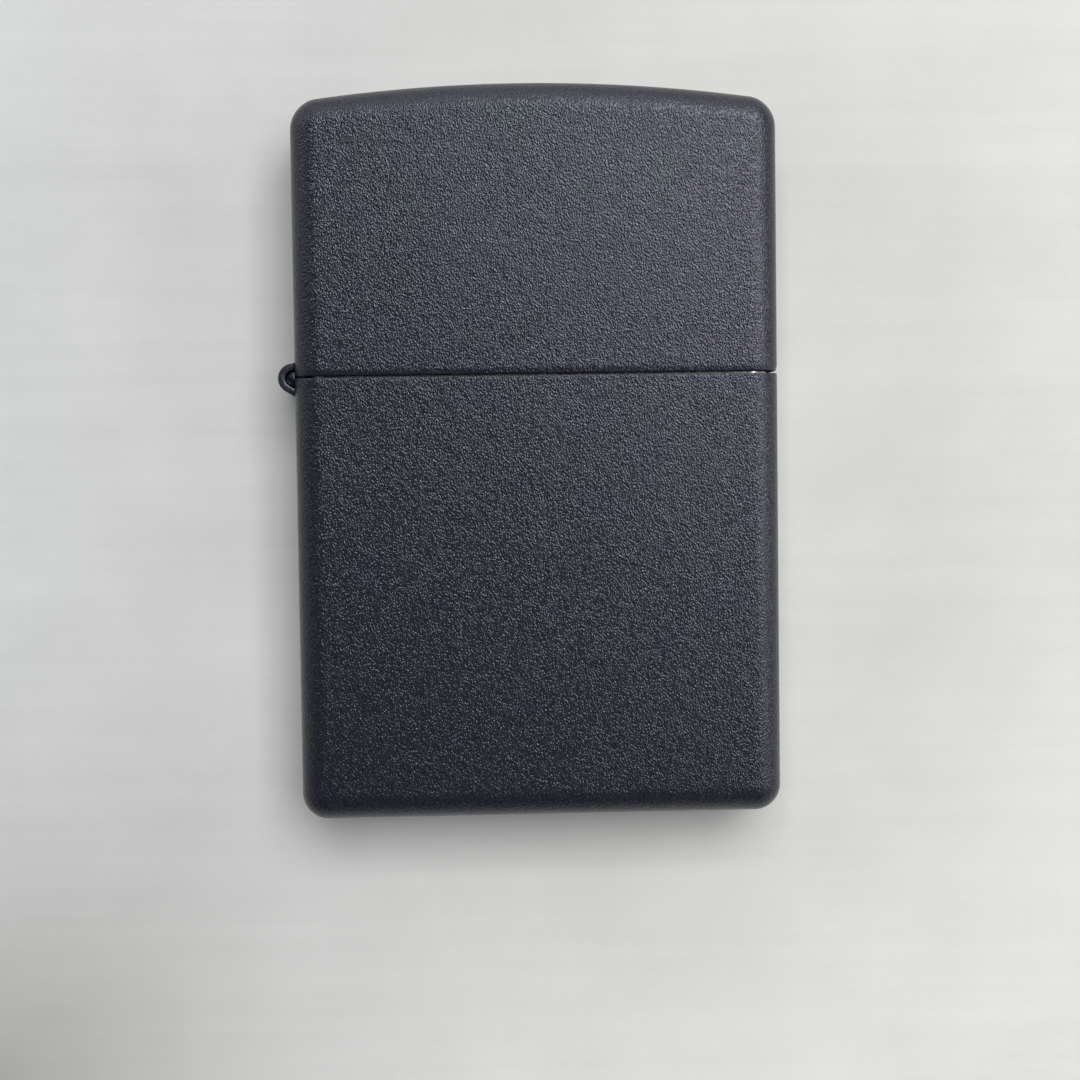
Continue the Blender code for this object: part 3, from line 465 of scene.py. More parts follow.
class Loft:
    """Rings joined by quads, with grid caps, and a material and a group number for each row."""

    def __init__(self, corner, side, end):
        self.corner, self.side, self.end = corner, side, end
        self.m = 2 * corner + side + 1
        self.n = 2 * self.m + 2 * (end - 1)
        self.verts, self.faces, self.mats, self.outer = [], [], [], []
        self.count = 0

    def ring(self, a, b, r, z, outer=False, cx=0.0):
        xy = plan_ring(a, b, r, self.corner, self.side, self.end, cx)
        zz = z(xy[:, 0]) if callable(z) else np.full(len(xy), z)
        start = self.count
        self.verts.append(np.column_stack([xy, zz]))
        self.outer.append(np.full(len(xy), outer))
        self.count += len(xy)
        return start

    def join(self, s0, s1, mat):
        i = np.arange(self.n)
        j = (i + 1) % self.n
        self.faces.append(np.column_stack([s0 + i, s0 + j, s1 + j, s1 + i]))
        self.mats.append(np.full(self.n, mat))

    def cap(self, start, z, mat, outer=False, flip=False):
        """A grid of quads over the ring; z gives the height of a point."""
        ring = np.vstack(self.verts)[start : start + self.n]
        m, k, n = self.m, self.end, self.n
        grid = np.zeros((k + 1, m), int)
        grid[0] = start + np.arange(m)
        grid[k] = start + (m + k - 1) + (m - 1 - np.arange(m))
        for j in range(1, k):
            grid[j, 0] = start + n - j
            grid[j, m - 1] = start + m - 1 + j
        new = []
        top, bottom = ring[:m], ring[(m + k - 1) + (m - 1 - np.arange(m))]
        for j in range(1, k):
            row = top[1:-1] * (1 - j / k) + bottom[1:-1] * (j / k)
            if z is not None:
                row[:, 2] = z(row[:, 0]) if callable(z) else z
            grid[j, 1 : m - 1] = self.count + np.arange(m - 2)
            self.verts.append(row)
            self.outer.append(np.full(m - 2, outer))
            self.count += m - 2
        a, b, c, d = grid[:-1, :-1], grid[:-1, 1:], grid[1:, 1:], grid[1:, :-1]
        quads = np.stack([a, b, c, d], -1).reshape(-1, 4)
        if flip:
            quads = quads[:, ::-1]
        self.faces.append(quads)
        self.mats.append(np.full(len(quads), mat))

    def arrays(self):
        return np.vstack(self.verts), np.vstack(self.faces), np.concatenate(self.mats), np.concatenate(self.outer)


def outward(v, f):
    """Vertex normals from the faces, and the same faces turned outwards."""
    a, b, c, d = v[f[:, 0]], v[f[:, 1]], v[f[:, 2]], v[f[:, 3]]
    fn = np.cross(c - a, d - b)
    volume = np.einsum("ij,ij->i", a, np.cross(b, c)).sum() + np.einsum("ij,ij->i", a, np.cross(c, d)).sum()
    if volume < 0:
        f = f[:, ::-1].copy()
        fn = -fn
    n = np.zeros_like(v)
    for k in range(4):
        np.add.at(n, f[:, k], fn)
    n /= np.maximum(np.linalg.norm(n, axis=1), 1e-12)[:, None]
    return n, f


def peel(v, n, mask, amount=0.012, seed=3):
    """Slow unevenness of a thick powder coat, always inwards so that the size stays."""
    d = 0.55 * value_noise(v / 0.85 + 31.7, seed) + 0.30 * value_noise(v / 0.42 + 11.3, seed + 1) + 0.15 * value_noise(v / 2.6 + 5.1, seed + 2)
    out = v.copy()
    out[mask] -= n[mask] * (amount * d[mask])[:, None]
    return out


def shell_ring(loft, inset, z, outer):
    return loft.ring(HALF_W - inset, HALF_T - inset, max(PLAN_R - inset, 0.45), z, outer)


def build_case_skin():
    loft = Loft(10, 112, 28)
    rows = []
    recess = 0.35
    rows.append((3.35, recess, True, 0))
    for i in range(1, 5):  # into the recess wall
        t = math.radians(90.0 * i / 4)
        rows.append((3.20 - 0.12 * math.sin(t), recess - 0.12 * (1 - math.cos(t)), True, 0))
    for i in range(5):
        t = math.radians(90.0 * i / 4)
        rows.append((2.95 - 0.14 * (1 - math.cos(t)), 0.14 * (1 - math.sin(t)), True, 0))
    for i in range(15):  # round the base
        t = math.radians(90.0 * i / 14)
        rows.append((EDGE_R * (1 - math.sin(t)), EDGE_R * (1 - math.cos(t)), True, 0))
    lean, slope, top_r = 0.015, 0.24, 0.055
    top_z = CASE_H - 0.12  # a visible parting line, 0.13 mm wide
    wall_rows = 104
    for i in range(1, wall_rows):
        rows.append((0.0, EDGE_R + (top_z - top_r - slope - EDGE_R) * i / wall_rows, True, 0))
    for i in range(6):  # the rim leans in a little, then turns over
        rows.append((lean * (i / 6) ** 2, top_z - top_r - slope * (1 - i / 6), True, 0))
    for i in range(8):
        t = math.radians(12.0 + 78.0 * i / 7)
        rows.append((lean + top_r * (math.cos(math.radians(12)) - math.cos(t)), top_z - top_r + top_r * math.sin(t), True, 0))
    for i in range(4):
        t = math.radians(90.0 * i / 3)
        rows.append((WALL - 0.12 * (1 - math.sin(t)), top_z - 0.12 * (1 - math.cos(t)), False, 0))
    for z in (top_z - 0.5, top_z - 1.3):
        rows.append((WALL, z, False, 1))
    for z in np.linspace(top_z - 4.0, 3.2, 9):
        rows.append((WALL, z, False, 1))
    for i in range(7):
        t = math.radians(90.0 * i / 6)
        rows.append((WALL + 1.1 * (1 - math.cos(t)), 1.0 + 1.1 * (1 - math.sin(t)), False, 1))
    starts = [shell_ring(loft, inset, z, outer) for inset, z, outer, _ in rows]
    for (s0, s1, row) in zip(starts, starts[1:], rows[1:]):
        loft.join(s0, s1, row[3])
    loft.cap(starts[0], None, 0, outer=True, flip=True)
    loft.cap(starts[-1], None, 1)
    return loft


def build_lid_skin():
    def arch(x):
        return TOTAL_H - x * x / (2 * ARCH_R)

    loft = Loft(10, 112, 28)
    rows = []
    for i in range(15):
        t = math.radians(90.0 * i / 14)
        rows.append((EDGE_R * (1 - math.sin(t)), lambda x, t=t: arch(x) - EDGE_R * (1 - math.cos(t)), True, 0))
    lean, slope, rim_r = 0.060, 0.34, 0.22
    rim_z = LID_Z0 - 0.09
    wall_rows = 66
    for i in range(1, wall_rows):
        s = i / wall_rows
        rows.append((0.0, lambda x, s=s: (arch(x) - EDGE_R) * (1 - s) + (rim_z + rim_r + slope) * s, True, 0))
    for i in range(6):
        rows.append((lean * (i / 6) ** 2, rim_z + rim_r + slope * (1 - i / 6), True, 0))
    for i in range(8):
        t = math.radians(15.0 + 75.0 * i / 7)
        rows.append((lean + rim_r * (math.cos(math.radians(15)) - math.cos(t)), rim_z + rim_r - rim_r * math.sin(t), True, 0))
    for i in range(4):
        t = math.radians(90.0 * i / 3)
        rows.append((WALL - 0.12 * (1 - math.sin(t)), rim_z + 0.12 * (1 - math.cos(t)), False, 0))
    for z in (rim_z + 0.5, rim_z + 1.3):
        rows.append((WALL, z, False, 1))
    inner = EDGE_R - WALL
    for s in np.linspace(0.1, 1.0, 7):
        rows.append((WALL, lambda x, s=s: (rim_z + 1.3) * (1 - s) + (arch(x) - EDGE_R) * s, False, 1))
    for i in range(1, 8):
        t = math.radians(90.0 * i / 7)
        rows.append((WALL + inner * (1 - math.cos(t)), lambda x, t=t: arch(x) - EDGE_R + inner * math.sin(t), False, 1))
    starts = [shell_ring(loft, inset, z, outer) for inset, z, outer, _ in rows]
    for (s0, s1, row) in zip(starts, starts[1:], rows[1:]):
        loft.join(s0, s1, row[3])
    loft.cap(starts[0], lambda x: arch(x), 0, outer=True, flip=True)
    loft.cap(starts[-1], lambda x: arch(x) - WALL, 1)
    return loft


def prism_y(outline, y0, y1):
    bm = bmesh.new()
    front = [bm.verts.new((x, y0, z)) for x, z in outline]
    back = [bm.verts.new((x, y1, z)) for x, z in outline]
    bm.faces.new(front)
    bm.faces.new(list(reversed(back)))
    k = len(outline)
    for i in range(k):
        j = (i + 1) % k
        bm.faces.new((front[i], front[j], back[j], back[i]))
    return bm


def prism_z(outline, z0, z1):
    bm = bmesh.new()
    low = [bm.verts.new((x, y, z0)) for x, y in outline]
    high = [bm.verts.new((x, y, z1)) for x, y in outline]
    bm.faces.new(low)
    bm.faces.new(list(reversed(high)))
    k = len(outline)
    for i in range(k):
        j = (i + 1) % k
        bm.faces.new((low[i], low[j], high[j], high[i]))
    return bm


def helper(name, bm):
    obj = from_bm(name, bm, [])
    obj.hide_render = True
    return obj


def hinge_notch(sign):
    """The gap each wall leaves for the barrel. sign is -1 for the case and +1 for the lid."""
    def line(x):
        return -1.62 - (x - 0.25) * 0.6

    points = [(1.15, line(1.15)), (-0.6, line(-0.6)), (-0.6, 1.9), (1.15, 1.9)]
    return [(HINGE_X + x, HINGE_Z - sign * z) for x, z in points]


for name, builder, node, body, sign, seed in (
    ("case_skin", build_case_skin, "case_shell", "case", -1, 3),
    ("lid_skin", build_lid_skin, "lid_shell", "lid", 1, 17),
):
    v, f, mats, outer = builder().arrays()
    normals, f = outward(v, f)
    v = peel(v, normals, outer, 0.012, seed)
    obj = make_object(name, v, f, [PAINT, BARE], mats, 50.0)
    cutter = helper("notch", prism_y(hinge_notch(sign), -BARREL_L / 2 - 0.15, BARREL_L / 2 + 0.15))
    cut(obj, cutter)
    obj.data.set_sharp_from_angle(angle=math.radians(50))
    piece(obj, body, "crackle_paint", node)


# ---------------------------------------------------------------- hinge
BORE_R, LEAF_T = 0.64, 0.515
LEAF_X = -HALF_W + WALL + 0.03


def strip(line, t):
    """Outline of a sheet of even thickness along a line, with rounded free end."""
    left, right = [], []
    k = len(line)
    for i, (x, z) in enumerate(line):
        x0, z0 = line[max(i - 1, 0)]
        x1, z1 = line[min(i + 1, k - 1)]
        dx, dz = x1 - x0, z1 - z0
        d = math.hypot(dx, dz)
        nx, nz = -dz / d * t / 2, dx / d * t / 2
        left.append((x + nx, z + nz))
        right.append((x - nx, z - nz))
    return left + list(reversed(right))


def knuckle_outline(sign):
    mean = BORE_R + LEAF_T / 2
    towards = math.radians(149.2)
    touch = towards + math.pi / 2
    start = Vector((mean * math.cos(touch), mean * math.sin(touch)))
    along = Vector((-math.cos(towards), -math.sin(towards)))
    plate_x = LEAF_X + LEAF_T / 2 - HINGE_X
    corner = start + (plate_x - start.x) / along.x * along
    bend = 0.5
    back = bend * math.tan(math.radians((149.2 - 90) / 2))
    line = [(plate_x, corner.y - 1.1), (plate_x, corner.y - back - 0.2), (plate_x, corner.y - back)]
    centre = Vector((plate_x - bend, corner.y - back))
    for i in range(1, 11):
        t = math.radians((149.2 - 90) * i / 10)
        line.append((centre.x + bend * math.cos(t), centre.y + bend * math.sin(t)))
    first, last = math.degrees(touch), 84.0
    for i in range(37):
        t = math.radians(first + (last - first) * i / 36)
        line.append((mean * math.cos(t), mean * math.sin(t)))
    return [(HINGE_X + x, HINGE_Z - sign * z) for x, z in strip(line, LEAF_T)]


def build_leaf(name, sign, spans):
    near, far = HINGE_Z + sign * 2.05, HINGE_Z + sign * 6.8
    low, high = min(near, far), max(near, far)
    half, c = BARREL_L / 2, 0.8
    if sign < 0:
        face = [(-half, high), (-half, low + c), (-half + c, low), (half - c, low), (half, low + c), (half, high)]
    else:
        face = [(-half, low), (half, low), (half, high - c), (half - c, high), (-half + c, high), (-half, high - c)]
    bm = bmesh.new()
    inner = [bm.verts.new((LEAF_X + LEAF_T, y, z)) for y, z in face]
    outer = [bm.verts.new((LEAF_X, y, z)) for y, z in face]
    bm.faces.new(inner)
    bm.faces.new(list(reversed(outer)))
    for i in range(len(face)):
        j = (i + 1) % len(face)
        bm.faces.new((inner[i], inner[j], outer[j], outer[i]))
    leaf = from_bm(name, bm, [HINGE])
    for y0, y1 in spans:
        cut(leaf, helper("knuckle", prism_y(knuckle_outline(sign), y0, y1)), "UNION")
    # two spot-weld dimples on the plate
    for y in (-2.1, 2.1):
        dimple = bmesh.new()
        bmesh.ops.create_uvsphere(dimple, u_segments=24, v_segments=12, radius=0.85)
        bmesh.ops.translate(dimple, vec=(LEAF_X + LEAF_T + 0.72, y, HINGE_Z + sign * 4.5), verts=dimple.verts)
        cut(leaf, helper("dimple", dimple))
    return soften(leaf, 0.04, 2, 40.0, clamp=False)


pitch = BARREL_L / 5
spans = [(-BARREL_L / 2 + k * pitch + 0.05, -BARREL_L / 2 + (k + 1) * pitch - 0.05) for k in range(5)]
piece(build_leaf("case_leaf", -1, spans[0::2]), "case", "black_hinge", "case_hinge_leaf")
piece(build_leaf("lid_leaf", 1, spans[1::2]), "lid", "black_hinge", "lid_hinge_leaf")


def turned(name, profile, centre, axis, k, mats, hollow=False, wobble=None, angle=40.0):
    """A turned piece; profile is (radius, height). wobble(p, n) may move points along their radius."""
    rows = []
    for r, h in profile:
        t = np.linspace(0, 2 * math.pi, k, endpoint=False)
        u, w = r * np.cos(t), r * np.sin(t)
        hh = np.full(k, h)
        if wobble is not None:
            s = wobble(t, h, r)
            u, w = u * s, w * s
        if axis == "Z":
            rows.append(np.column_stack([centre[0] + u, centre[1] + w, centre[2] + hh]))
        else:
            rows.append(np.column_stack([centre[0] + u, centre[1] + hh, centre[2] + w]))
    v = np.vstack(rows)
    faces = []
    last = len(rows) if hollow else len(rows) - 1
    for a in range(last):
        b = (a + 1) % len(rows)
        for i in range(k):
            j = (i + 1) % k
            faces.append((a * k + i, a * k + j, b * k + j, b * k + i))
    v = list(map(tuple, v))
    if not hollow:
        for row, h in ((0, profile[0][1]), (len(rows) - 1, profile[-1][1])):
            c = len(v)
            v.append((centre[0], centre[1], centre[2] + h) if axis == "Z" else (centre[0], centre[1] + h, centre[2]))
            for i in range(k):
                faces.append((row * k + i, row * k + (i + 1) % k, c))
    bm = bmesh.new()
    bv = [bm.verts.new(p) for p in v]
    for f in faces:
        bm.faces.new([bv[i] for i in f])
    return from_bm(name, bm, mats, angle)


def rounded(points, r, seg=4):
    """A profile with its inner corners rounded."""
    out = [points[0]]
    for p0, p1, p2 in zip(points, points[1:], points[2:]):
        a, b, c = Vector(p0), Vector(p1), Vector(p2)
        u, w = (a - b), (c - b)
        q = min(r, u.length * 0.45, w.length * 0.45)
        s, e = b + u.normalized() * q, b + w.normalized() * q
        for i in range(seg + 1):
            t = i / seg
            out.append(tuple((1 - t) ** 2 * s + 2 * t * (1 - t) * b + t * t * e))
    out.append(points[-1])
    return out


half = float(pin_hi[1]) - 0.12
end = [(0.02, -half)] + [(0.58 * math.sin(t), -half + 0.20 * (1 - math.cos(t))) for t in np.linspace(0.15, math.pi / 2, 10)]
pin = turned("pin", end + [(r, -h) for r, h in reversed(end)], (HINGE_X, 0, HINGE_Z), "Y", 48, [PIN])
piece(pin, "case", "hinge_pin", "hinge_pin")


# ---------------------------------------------------------------- insert
INS_CX = float(ins_lo[0] + ins_hi[0]) / 2
INS_A = float(ins_hi[0] - ins_lo[0]) / 2
INS_B = float(ins_hi[1])
INS_R, INS_WALL = 1.6, 0.45
INS_Z0, INS_Z1 = float(ins_lo[2]) - 0.05, float(ins_hi[2])
PLATE_Z = INS_Z1 + 0.1


def insert_ring(loft, inset, z, outer=False, least=0.4):
    return loft.ring(INS_A - inset, INS_B - inset, max(INS_R - inset, least), z, outer, INS_CX)


loft = Loft(9, 30, 9)
rows = [(0.85, INS_Z0 + 0.05)]
for i in range(7):  # the lower edge, turned in
    t = math.radians(90.0 * i / 6)
    rows.append((0.68 * (1 - math.sin(t)), INS_Z0 + 0.07 + 0.68 * (1 - math.cos(t))))
rows += [(0.0, z) for z in np.linspace(INS_Z0 + 1.4, INS_Z1 - 0.5, 14)]
for i in range(5):
    t = math.radians(90.0 * i / 4)
    rows.append((0.14 * (1 - math.cos(t)), INS_Z1 - 0.14 + 0.14 * math.sin(t)))
rows += [(INS_WALL - 0.05, INS_Z1), (INS_WALL, INS_Z1 - 0.05)]
rows += [(INS_WALL, z) for z in np.linspace(INS_Z1 - 1.0, INS_Z0 + 0.8, 8)]
rows += [(INS_WALL + 0.15, INS_Z0 + 0.5), (0.85, INS_Z0 + 0.4)]
starts = [insert_ring(loft, inset, z) for inset, z in rows]
for s0, s1 in zip(starts, starts[1:] + starts[:1]):
    loft.join(s0, s1, 0)
v, f, mats, _ = loft.arrays()
normals, f = outward(v, f)
obj = make_object("insert_sleeve", v, f, [STEEL], mats, 45.0)
piece(obj, "insert", "insert_steel", "insert_body")


def spline(points, steps):
    out = []
    pts = [points[0]] + list(points) + [points[-1]]
    for i in range(1, len(pts) - 2):
        p0, p1, p2, p3 = pts[i - 1 : i + 3]
        for s in range(steps):
            t = s / steps
            out.append(tuple(0.5 * (2 * b + (c - a) * t + (2 * a - 5 * b + 4 * c - d) * t * t + (3 * b - a - 3 * c + d) * t ** 3) for a, b, c, d in zip(p0, p1, p2, p3)))
    out.append(tuple(points[-1]))
    return out


CHIM_B, CHIM_T, CHIM_X0, EAR_B = 4.3, 0.5, -9.4, 2.72
WICK_X = -1.2


def screen_path():
    b = CHIM_B - CHIM_T / 2
    ear = EAR_B - CHIM_T / 2
    r = 3.2
    x0 = CHIM_X0 + CHIM_T / 2
    half = [(13.6, -ear), (10.8, -ear), (8.6, -ear)]
    half += spline([(8.0, -ear), (7.0, -ear - 0.12), (6.1, -(ear + b) / 2 + 0.22), (5.4, -(ear + b) / 2 - 0.25), (4.7, -b + 0.12), (3.9, -b)], 4)
    half += [(0.0, -b), (-3.0, -b)]
    for i in range(17):
        t = math.radians(270.0 - 90.0 * i / 16)
        half.append((x0 + r + r * math.cos(t), -(b - r) + r * math.sin(t)))
    return half + [(x, -y) for x, y in reversed(half)]


def cylinder(x, z, r, y0, y1, k=40):
    bm = bmesh.new()
    ring = [(x + r * math.cos(2 * math.pi * i / k), z + r * math.sin(2 * math.pi * i / k)) for i in range(k)]
    bm.free()
    return prism_y(ring, y0, y1)


def cylinder_z(x, r, z0, z1, k=40):
    return prism_z([(x + r * math.cos(2 * math.pi * i / k), r * math.sin(2 * math.pi * i / k)) for i in range(k)], z0, z1)


def build_chimney():
    inset = INS_WALL + 0.05
    loft = Loft(9, 30, 9)
    rows = []
    for i in range(6):
        t = math.radians(90.0 * i / 5)
        rows.append((inset + 0.3 * (1 - math.sin(t)), PLATE_Z - 0.3 * (1 - math.cos(t))))
    rows += [(inset, z) for z in np.linspace(PLATE_Z - 0.8, 32.6, 4)]
    rows += [(inset + 0.4, 32.6), (inset + 0.4, PLATE_Z - 0.5)]
    starts = [insert_ring(loft, i, z) for i, z in rows]
    for s0, s1 in zip(starts, starts[1:]):
        loft.join(s0, s1, 0)
    loft.cap(starts[0], None, 0, flip=True)
    loft.cap(starts[-1], None, 0)
    v, f, mats, _ = loft.arrays()
    normals, f = outward(v, f)
    plate = make_object("chimney_and_plate", v, f, [PLATE], mats, 35.0)

    wall = helper("screen", prism_z(strip(screen_path(), CHIM_T), PLATE_Z - 0.25, 49.8))
    side = [(-12.0, 34.0), (-12.0, 44.6)]
    side += spline([(-10.4, 46.9), (-8.9, 48.8), (-7.9, 49.45), (-6.9, 49.7)], 5)
    side += spline([(4.4, 49.7), (5.4, 49.45), (6.4, 48.6), (8.0, 46.6)], 5)
    for i in range(21):
        t = math.radians(80.0 - 120.0 * i / 20)
        side.append((WHEEL_X + 0.6 + 3.0 * math.cos(t), WHEEL_Z + 3.0 * math.sin(t)))
    side += [(12.2, 38.6), (12.8, 34.0)]
    cut(wall, helper("trim", prism_y(side, -6.0, 6.0)), "INTERSECT")
    for x, z in [(-5.9, 47.0), (-1.9, 47.0), (2.1, 47.0), (-3.9, 43.3), (0.1, 43.3), (-5.9, 39.6), (-1.9, 39.6), (2.1, 39.6)]:
        cut(wall, helper("hole", cylinder(x, z, 1.05, -6.5, 6.5)))
    cut(wall, helper("axle", cylinder(WHEEL_X, WHEEL_Z, 1.04, -6.5, 6.5, 48)))
    shape = [(-14.5, PLATE_Z - 0.25), (-14.5, 36.4)]
    for i in range(15):
        t = math.radians(175.0 - 150.0 * i / 14)
        shape.append((CAM_X + 1.95 * math.cos(t), CAM_Z + 1.95 * math.sin(t)))
    shape += [(-9.3, 38.3), (-9.3, PLATE_Z - 0.25)]
    for y0, y1 in ((-1.85, -1.32), (1.32, 1.85)):
        cut(plate, helper("ear", prism_y(shape, y0, y1)), "UNION")
    cut(plate, wall, "UNION")
    cut(plate, helper("pivot", cylinder(CAM_X, CAM_Z, 0.84, -6.0, 6.0, 32)))
    cut(plate, helper("slot", prism_z([(-15.55, -1.27), (-10.35, -1.27), (-10.35, 1.27), (-15.55, 1.27)], 34.0, 36.2)))
    for x, r in ((WICK_X, 2.0), (WHEEL_X, 1.9), (-5.6, 0.66)):
        cut(plate, helper("opening", cylinder_z(x, r, 33.5, 36.5)))
    plate.hide_render = False
    return soften(plate, 0.06, 2, 42.0)


piece(build_chimney(), "insert", "insert_steel", "chimney")


# ---------------------------------------------------------------- wheel, cam and rivets
def build_wheel():
    teeth, per, rows = 44, 8, 19
    k = teeth * per
    r_out, half = 4.1, 2.0
    t = np.linspace(0, 2 * math.pi, k, endpoint=False)
    y = np.linspace(-half, half, rows)
    grid = []
    for h in y:
        edge = max(0.0, abs(h) - (half - 0.42)) / 0.42
        base = r_out - 0.70 * edge ** 1.6
        phase = (t * teeth / (2 * math.pi) + 0.85 * h) % 1.0
        saw = np.where(phase < 0.72, phase / 0.72, (1 - phase) / 0.28)
        cross = (t * 16 / (2 * math.pi) - 0.9 * h) % 1.0
        groove = np.clip(1 - np.abs(cross - 0.5) / 0.13, 0, 1)
        depth = 0.27 * (1 - saw) + 0.12 * groove
        r = base - depth * (1 - 0.75 * edge)
        grid.append(np.column_stack([WHEEL_X + r * np.cos(t), np.full(k, h), WHEEL_Z + r * np.sin(t)]))
    for r, h in ((3.05, half), (2.9, half - 0.14), (2.0, half - 0.14), (1.85, half), (1.10, half), (1.05, half - 0.05), (1.05, -half + 0.05), (1.10, -half), (1.85, -half), (2.0, -half + 0.14), (2.9, -half + 0.14), (3.05, -half)):
        grid.append(np.column_stack([WHEEL_X + r * np.cos(t), np.full(k, h), WHEEL_Z + r * np.sin(t)]))
    v = np.vstack(grid)
    n_rows = len(grid)
    i = np.arange(k)
    j = (i + 1) % k
    faces = [np.column_stack([a * k + i, a * k + j, ((a + 1) % n_rows) * k + j, ((a + 1) % n_rows) * k + i]) for a in range(n_rows)]
    f = np.vstack(faces)
    normals, f = outward(v, f)
    return make_object("spark_wheel", v, f, [HARD], None, 28.0)


piece(build_wheel(), "wheel", "wheel_steel", "flint_wheel")


def build_rivet(name, x, z, shank, half, head_r, head_h):
    dome = [(0.02, -half - head_h)]
    for i in range(1, 9):
        t = math.radians(90.0 * i / 8)
        dome.append((head_r * math.sin(t), -half - 0.05 - (head_h - 0.05) * math.cos(t)))
    profile = dome + [(head_r, -half - 0.03), (shank, -half - 0.03)]
    profile += [(r, -h) for r, h in reversed(profile)]
    return turned(name, profile, (x, 0, z), "Y", 48, [RIVET], angle=50)


piece(build_rivet("wheel_axle", WHEEL_X, WHEEL_Z, 1.0, EAR_B, 1.75, 0.5), "insert", "rivet_steel", "wheel_rivet")
piece(build_rivet("cam_axle", CAM_X, CAM_Z, 0.8, 1.87, 1.12, 0.38), "insert", "rivet_steel", "cam_rivet")


def build_cam():
    angle = math.radians(137.8)
    heel_r, toe_r, length, b = 2.0, 0.6, 5.6, 1.15
    fwd = Vector((math.cos(angle), math.sin(angle)))
    side = Vector((-fwd.y, fwd.x))
    line, widths = [], []
    for i in range(25):
        s = i / 24
        line.append(Vector((CAM_X, CAM_Z)) + fwd * (length * s) - side * (0.55 * math.sin(math.pi * s)))
        widths.append(heel_r * (1 - s) ** 1.5 + toe_r * (1 - (1 - s) ** 1.5))
    left = [p + side * w for p, w in zip(line, widths)]
    right = [p - side * w for p, w in zip(line, widths)]
    toe = [line[-1] + toe_r * Vector((math.cos(angle + math.radians(d)), math.sin(angle + math.radians(d)))) for d in range(75, -76, -15)]
    heel = [Vector((CAM_X, CAM_Z)) + heel_r * Vector((math.cos(angle + math.radians(d)), math.sin(angle + math.radians(d)))) for d in range(-98, -263, -8)]
    obj = from_bm("cam_lever", prism_y([tuple(p) for p in left + toe + list(reversed(right)) + heel], -b, b), [HARD])
    cut(obj, helper("bore", cylinder(CAM_X, CAM_Z, 0.86, -3, 3, 40)))
    return soften(obj, 0.10, 3, 50.0)


piece(build_cam(), "cam", "cam_steel", "cam")

line = spline([(-4.1, 34.69), (-7.2, 34.69), (-9.6, 34.45), (-12.6, 34.32), (-14.4, 34.12), (-15.5, 33.5)], 8)
leaf = from_bm("leaf_spring", prism_y(strip(line, 0.34), -1.15, 1.15), [SPRING])
cut(leaf, helper("eye", cylinder_z(-5.6, 0.66, 33.5, 36.0)))
piece(soften(leaf, 0.04, 2, 50.0), "insert", "spring_steel", "cam_spring")
profile = rounded([(0.3, 34.12), (0.6, 34.12), (1.0, 34.22), (1.0, 34.47), (0.6, 34.47), (0.6, 35.43), (1.05, 35.43), (1.05, 35.62), (0.65, 35.8), (0.1, 35.8)], 0.08)
piece(turned("leaf_spring_rivet", profile, (-5.6, 0, 0), "Z", 40, [RIVET]), "insert", "rivet_steel", "cam_spring_rivet")


# ---------------------------------------------------------------- flint train
profile = rounded([(1.85, 3.1), (1.85, 39.2), (1.3, 39.2), (1.3, 9.4), (1.5, 9.2), (1.5, 3.1), (1.85, 3.1)], 0.09)
profile = profile[1:] if profile[0] == profile[-1] else profile
piece(turned("tube", profile[:-1] + [(1.68, 3.1)], (WHEEL_X, 0, 0), "Z", 56, [BRASS], hollow=True), "insert", "brass", "flint_tube")

profile = rounded([(0.2, 34.62), (1.2, 34.62), (1.2, 36.2), (1.2, 37.9), (1.2, 39.48), (0.2, 39.48)], 0.2, 5)
piece(turned("flint_stone", profile, (WHEEL_X, 0, 0), "Z", 48, [FLINT], wobble=lambda t, h, r: 1 - 0.012 * np.abs(np.sin(5 * t + 7 * h) * np.cos(3 * t - 4 * h))), "flint", "flint_alloy", "flint")
profile = rounded([(0.1, 32.6), (0.45, 32.6), (0.58, 32.8), (0.58, 33.98), (1.18, 33.98), (1.18, 34.4), (0.95, 34.57), (0.1, 34.57)], 0.06)
piece(turned("plunger", profile, (WHEEL_X, 0, 0), "Z", 40, [BRASS]), "flint", "brass", "flint_spring_tip")


def swept(name, path, radius, k, mats, angle=60.0, shape=None, ends=True):
    """A section carried along a path. shape(s, angles) scales the radius."""
    P = np.asarray(path, float)
    T = np.gradient(P, axis=0)
    T /= np.linalg.norm(T, axis=1)[:, None]
    N = np.zeros_like(P)
    a = np.cross(T[0], [0, 1, 0])
    if np.linalg.norm(a) < 0.1:
        a = np.cross(T[0], [1, 0, 0])
    N[0] = a / np.linalg.norm(a)
    for i in range(1, len(P)):
        q = N[i - 1] - T[i] * (N[i - 1] @ T[i])
        N[i] = q / np.linalg.norm(q)
    B = np.cross(T, N)
    along = np.concatenate([[0], np.cumsum(np.linalg.norm(np.diff(P, axis=0), axis=1))])
    t = np.linspace(0, 2 * math.pi, k, endpoint=False)
    rows = []
    for i in range(len(P)):
        r = radius(i / (len(P) - 1)) if callable(radius) else radius
        rr = r * (shape(along[i], t) if shape is not None else np.ones(k))
        rows.append(P[i] + np.outer(rr * np.cos(t), N[i]) + np.outer(rr * np.sin(t), B[i]))
    v = np.vstack(rows)
    i = np.arange(k)
    j = (i + 1) % k
    f = [np.column_stack([a * k + i, a * k + j, (a + 1) * k + j, (a + 1) * k + i]) for a in range(len(P) - 1)]
    f = [tuple(x) for x in np.vstack(f).tolist()]
    c0, c1 = len(v), len(v) + 1
    v = np.vstack([v, P[:1], P[-1:]])
    last = (len(P) - 1) * k
    for a in range(k):
        b = (a + 1) % k
        f.append((b, a, c0))
        f.append((last + a, last + b, c1))
    return v, f


